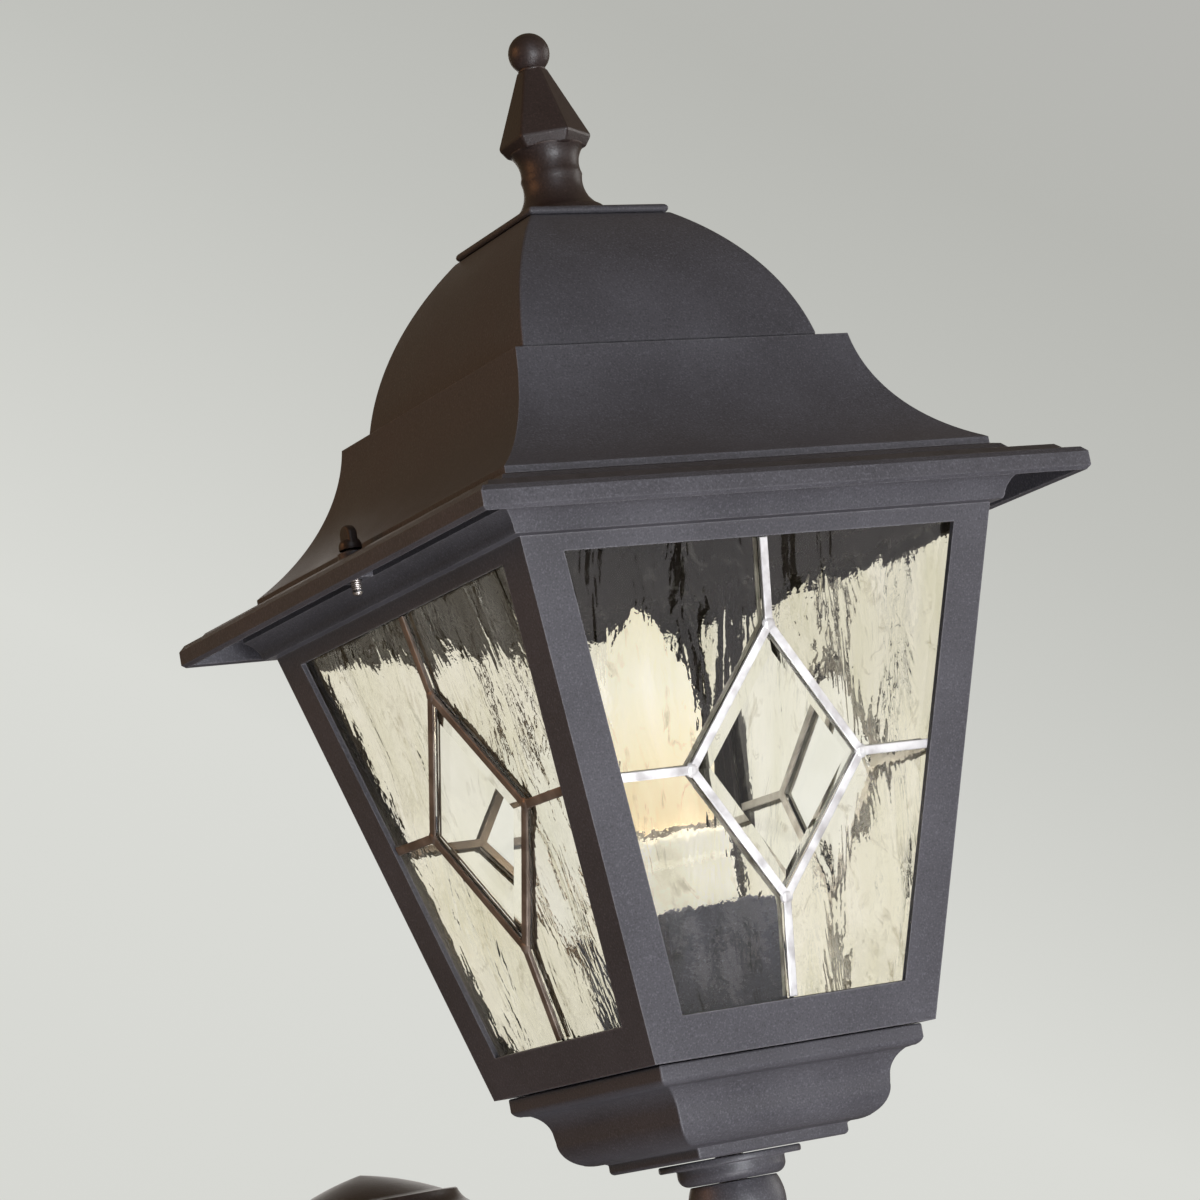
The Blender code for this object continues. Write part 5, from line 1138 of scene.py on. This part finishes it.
def make_foot():
    low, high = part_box("base_flange")
    bolts = [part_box("anchor_bolt_" + str(i)) for i in range(1, 5)]
    changes = []
    for corner_low, corner_high in bolts:
        middle = (corner_low + corner_high) / 2
        changes.append(("DIFFERENCE", rod_mesh(0.007, -0.01, 0.03, 32), shift(middle.x, middle.y, 0)))
    changes.append(("DIFFERENCE", rod_mesh(0.021, -0.01, 0.03, 48), shift(0, 0.045, 0)))
    piece("base_flange_plate", combined(box_mesh(low, high), *changes), POWDER, "post", ["base_flange"], at=WORLD, edge=0.0015)
    for number, (corner_low, corner_high) in enumerate(bolts, 1):
        middle = (corner_low + corner_high) / 2
        seat = high.z + GAP
        top = corner_high.z
        washer = [(0, seat + 0.0024), (0.0108, seat + 0.0024)]
        washer += bow((0.0108, seat + 0.0024), (0.012, seat + 0.0012), 0.2, 3)[1:] + [(0.012, seat), (0.006, seat)]
        washer += [(0.006, corner_low.z), (0, corner_low.z)]
        nut = combined(
            rod_mesh(0.0108, seat + 0.0024, seat + 0.0125, 6),
            ("INTERSECT", turned([(0, seat + 0.0127), (0.0088, seat + 0.0127), (0.0110, seat + 0.0112), (0.0110, seat + 0.002), (0, seat + 0.002)], steps=48), WORLD),
        )
        stud = [(0, top), (0.0048, top), (0.0058, top - 0.001)]
        level = top - 0.001
        while level - 0.0012 > seat + 0.011:
            stud += [(0.0059, level - 0.0005), (0.0053, level - 0.0011)]
            level -= 0.0012
        stud += [(0.0055, seat + 0.010), (0, seat + 0.010)]
        parts = together((turned(washer, steps=40), WORLD), (nut, WORLD), (turned(stud, steps=32), WORLD))
        at = shift(middle.x, middle.y, 0)
        piece("anchor_" + str(number), parts, STEEL, "post", ["anchor_bolt_" + str(number)], at=at, edge=0.0002, angle=50)


def repaint():
    """The CAD nodes that stay take a full finish."""
    finishes = {
        "finial_nut": STEEL,
        "nipple_locknut": STEEL,
        "threaded_nipple": STEEL,
        "door_hinge_pin": STEEL,
        "door_lock": STEEL,
        "lampholder_contact": BRASS,
        "fuse_cutout": BLACK_PLASTIC,
        "fuse_carrier": RED_PLASTIC,
    }
    for node, finish in finishes.items():
        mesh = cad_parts[node].data
        mesh.materials.clear()
        mesh.materials.append(finish)


# ================================================================ surroundings
def make_floor():
    """A wide pale disc. It shows pale to the camera and takes the shadows."""
    mesh = rod_mesh(16, -0.05, -0.0005, 128)
    f = new_finish("pale_floor")
    cloud = f.grain(0.8, 3)
    shade = f.blend(f.spread(cloud, 0.3, 0.7), (0.52, 0.52, 0.505), (0.49, 0.49, 0.475))
    rays = f.node("ShaderNodeLightPath").socket.node
    pale = f.blend(Wire(f, rays.outputs["Is Camera Ray"]), (0, 0, 0), (0.55, 0.555, 0.53))
    sockets = {"Base_Color": shade, "Roughness": 0.85, "Emission_Color": pale}
    f.shade(Emission_Strength=1.0, Specular_IOR_Level=0.1, **sockets)
    mesh.materials.append(f.owner)
    link("floor", mesh, Matrix.Identity(4))


def make_world():
    """A pale backdrop seen directly, in gloss and through glass, and a plainer light for the rest."""
    world = bpy.data.worlds.new("studio")
    bpy.context.scene.world = world
    f = Finish(world)
    f.tree.nodes.clear()
    direction = f.node("ShaderNodeTexCoord", output="Generated")
    split = f.node("ShaderNodeSeparateXYZ", {}, {0: direction})
    axes = [Wire(f, output) for output in split.socket.node.outputs]
    tilt = axes[0] * 0.491 - axes[1] * 0.462 + axes[2] * 0.886
    shade = f.spread(tilt, -0.25, 0.25)
    stops = [
        (0.0, (0.679, 0.686, 0.651)),
        (0.34, (0.701, 0.708, 0.672)),
        (0.67, (0.533, 0.539, 0.509)),
        (0.83, (0.473, 0.477, 0.449)),
        (1.0, (0.465, 0.465, 0.443)),
    ]
    backdrop = f.node("ShaderNodeValToRGB", {"stops": stops}, {0: shade})
    rays = f.node("ShaderNodeLightPath").socket.node
    camera = Wire(f, rays.outputs["Is Camera Ray"])
    glossy = Wire(f, rays.outputs["Is Glossy Ray"])
    through = Wire(f, rays.outputs["Is Transmission Ray"])
    sheen = f.blend(1.0, backdrop, ROOM_SHEEN, "MULTIPLY")
    colour = f.blend(camera, ROOM_LIGHT, backdrop)
    colour = f.blend(glossy, colour, sheen)
    colour = f.blend(through, colour, (0.90, 0.89, 0.85))
    background = f.node("ShaderNodeBackground", {}, {"Color": colour, "Strength": 1.0})
    f.node("ShaderNodeOutputWorld", {}, {"Surface": background})


# what the room gives to matt surfaces, and what gloss sees of the backdrop
ROOM_LIGHT = (0.095, 0.080, 0.062)
ROOM_SHEEN = (0.380, 0.290, 0.200)
# each softbox: its place from the lantern, its size, its power, its colour
SOFTBOXES = {
    "front_low": ((-0.25, -2.3, -0.6), (0.9, 0.8), 50.0, (0.92, 0.95, 1.0)),
    "front_foot": ((-0.3, -1.2, -1.6), (0.9, 0.6), 24.0, (0.96, 0.95, 1.0)),
    "front_high": ((-0.6, -2.2, 1.0), (1.3, 1.3), 8.0, (0.80, 0.86, 1.0)),
    "front_right": ((1.5, -1.9, -0.2), (1.1, 1.3), 6.0, (1.0, 0.97, 1.0)),
    "left_high": ((-2.2, 0.7, 0.9), (1.2, 1.2), 13.0, (1.0, 0.42, 0.16)),
    "right_fill": ((2.6, -0.3, 0.3), (1.2, 1.4), 16.0, (1.0, 0.98, 0.96)),
    "back_fill": ((1.6, 3.2, 0.6), (2.2, 2.2), 22.0, (1.0, 0.98, 0.96)),
}


def make_lights():
    middle = Vector((0, LANTERN_Y, EAVE_Z - 0.03))
    for name, (place, size, power, colour) in SOFTBOXES.items():
        data = bpy.data.lights.new(name, "AREA")
        data.shape = "RECTANGLE"
        data.size, data.size_y = size
        data.energy = power
        data.color = colour
        obj = link(name, data, Matrix.Identity(4))
        obj.location = middle + Vector(place)
        obj.rotation_euler = (-Vector(place)).to_track_quat("-Z", "Y").to_euler()
        obj.visible_transmission = False
    glow = bpy.data.lights.new("lamp_glow", "SPOT")
    glow.energy = 0.5
    glow.color = (1.0, 0.90, 0.74)
    glow.shadow_soft_size = 0.014
    glow.spot_size = math.radians(150)
    glow.spot_blend = 0.6
    halo = bpy.data.lights.new("lamp_halo", "POINT")
    halo.energy = 0.07
    halo.color = (1.0, 0.86, 0.64)
    halo.shadow_soft_size = 0.014
    low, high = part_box("bulb_glass")
    link("lamp_halo", halo, Matrix.Translation((low + high) / 2))
    link("lamp_glow", glow, Matrix.Translation((low + high) / 2 + Vector((0, 0, 0.014))))


def make_camera():
    data = bpy.data.cameras.new("camera")
    data.sensor_width = 36
    data.lens = 108.2535
    data.clip_start, data.clip_end = 0.05, 100
    right = Vector((0.85464, -0.48865, -0.17555))
    down = Vector((-0.0724, 0.2226, -0.9722))
    forward = Vector((0.51415, 0.84359, 0.15490))
    obj = link("camera", data, Matrix.Identity(4))
    turn = Matrix((right, -down, -forward)).transposed().to_4x4()
    obj.matrix_world = LANTERN @ Matrix.Translation((-0.66788, -1.07700, -0.21429)) @ turn
    bpy.context.scene.camera = obj


# ================================================================ the scene
for leftover in ("Cube", "Light", "Camera"):
    if leftover in bpy.data.objects:
        bpy.data.objects.remove(bpy.data.objects[leftover], do_unlink=True)
bpy.context.scene.view_settings.view_transform = "Standard"
make_roof_skirt()
make_roof_dome()
make_finial()
make_thumbscrew("left", -1)
make_thumbscrew("right", 1)
make_lantern_frame()
make_glazing()
make_base_moulding()
make_neck()
make_lamp()
make_bracket_arm()
make_arm_sleeve()
make_bracket_scroll()
make_post()
make_shaft_lower()
make_plinth()
make_access_door()
make_foot()
repaint()
make_floor()
make_world()
make_lights()
make_camera()
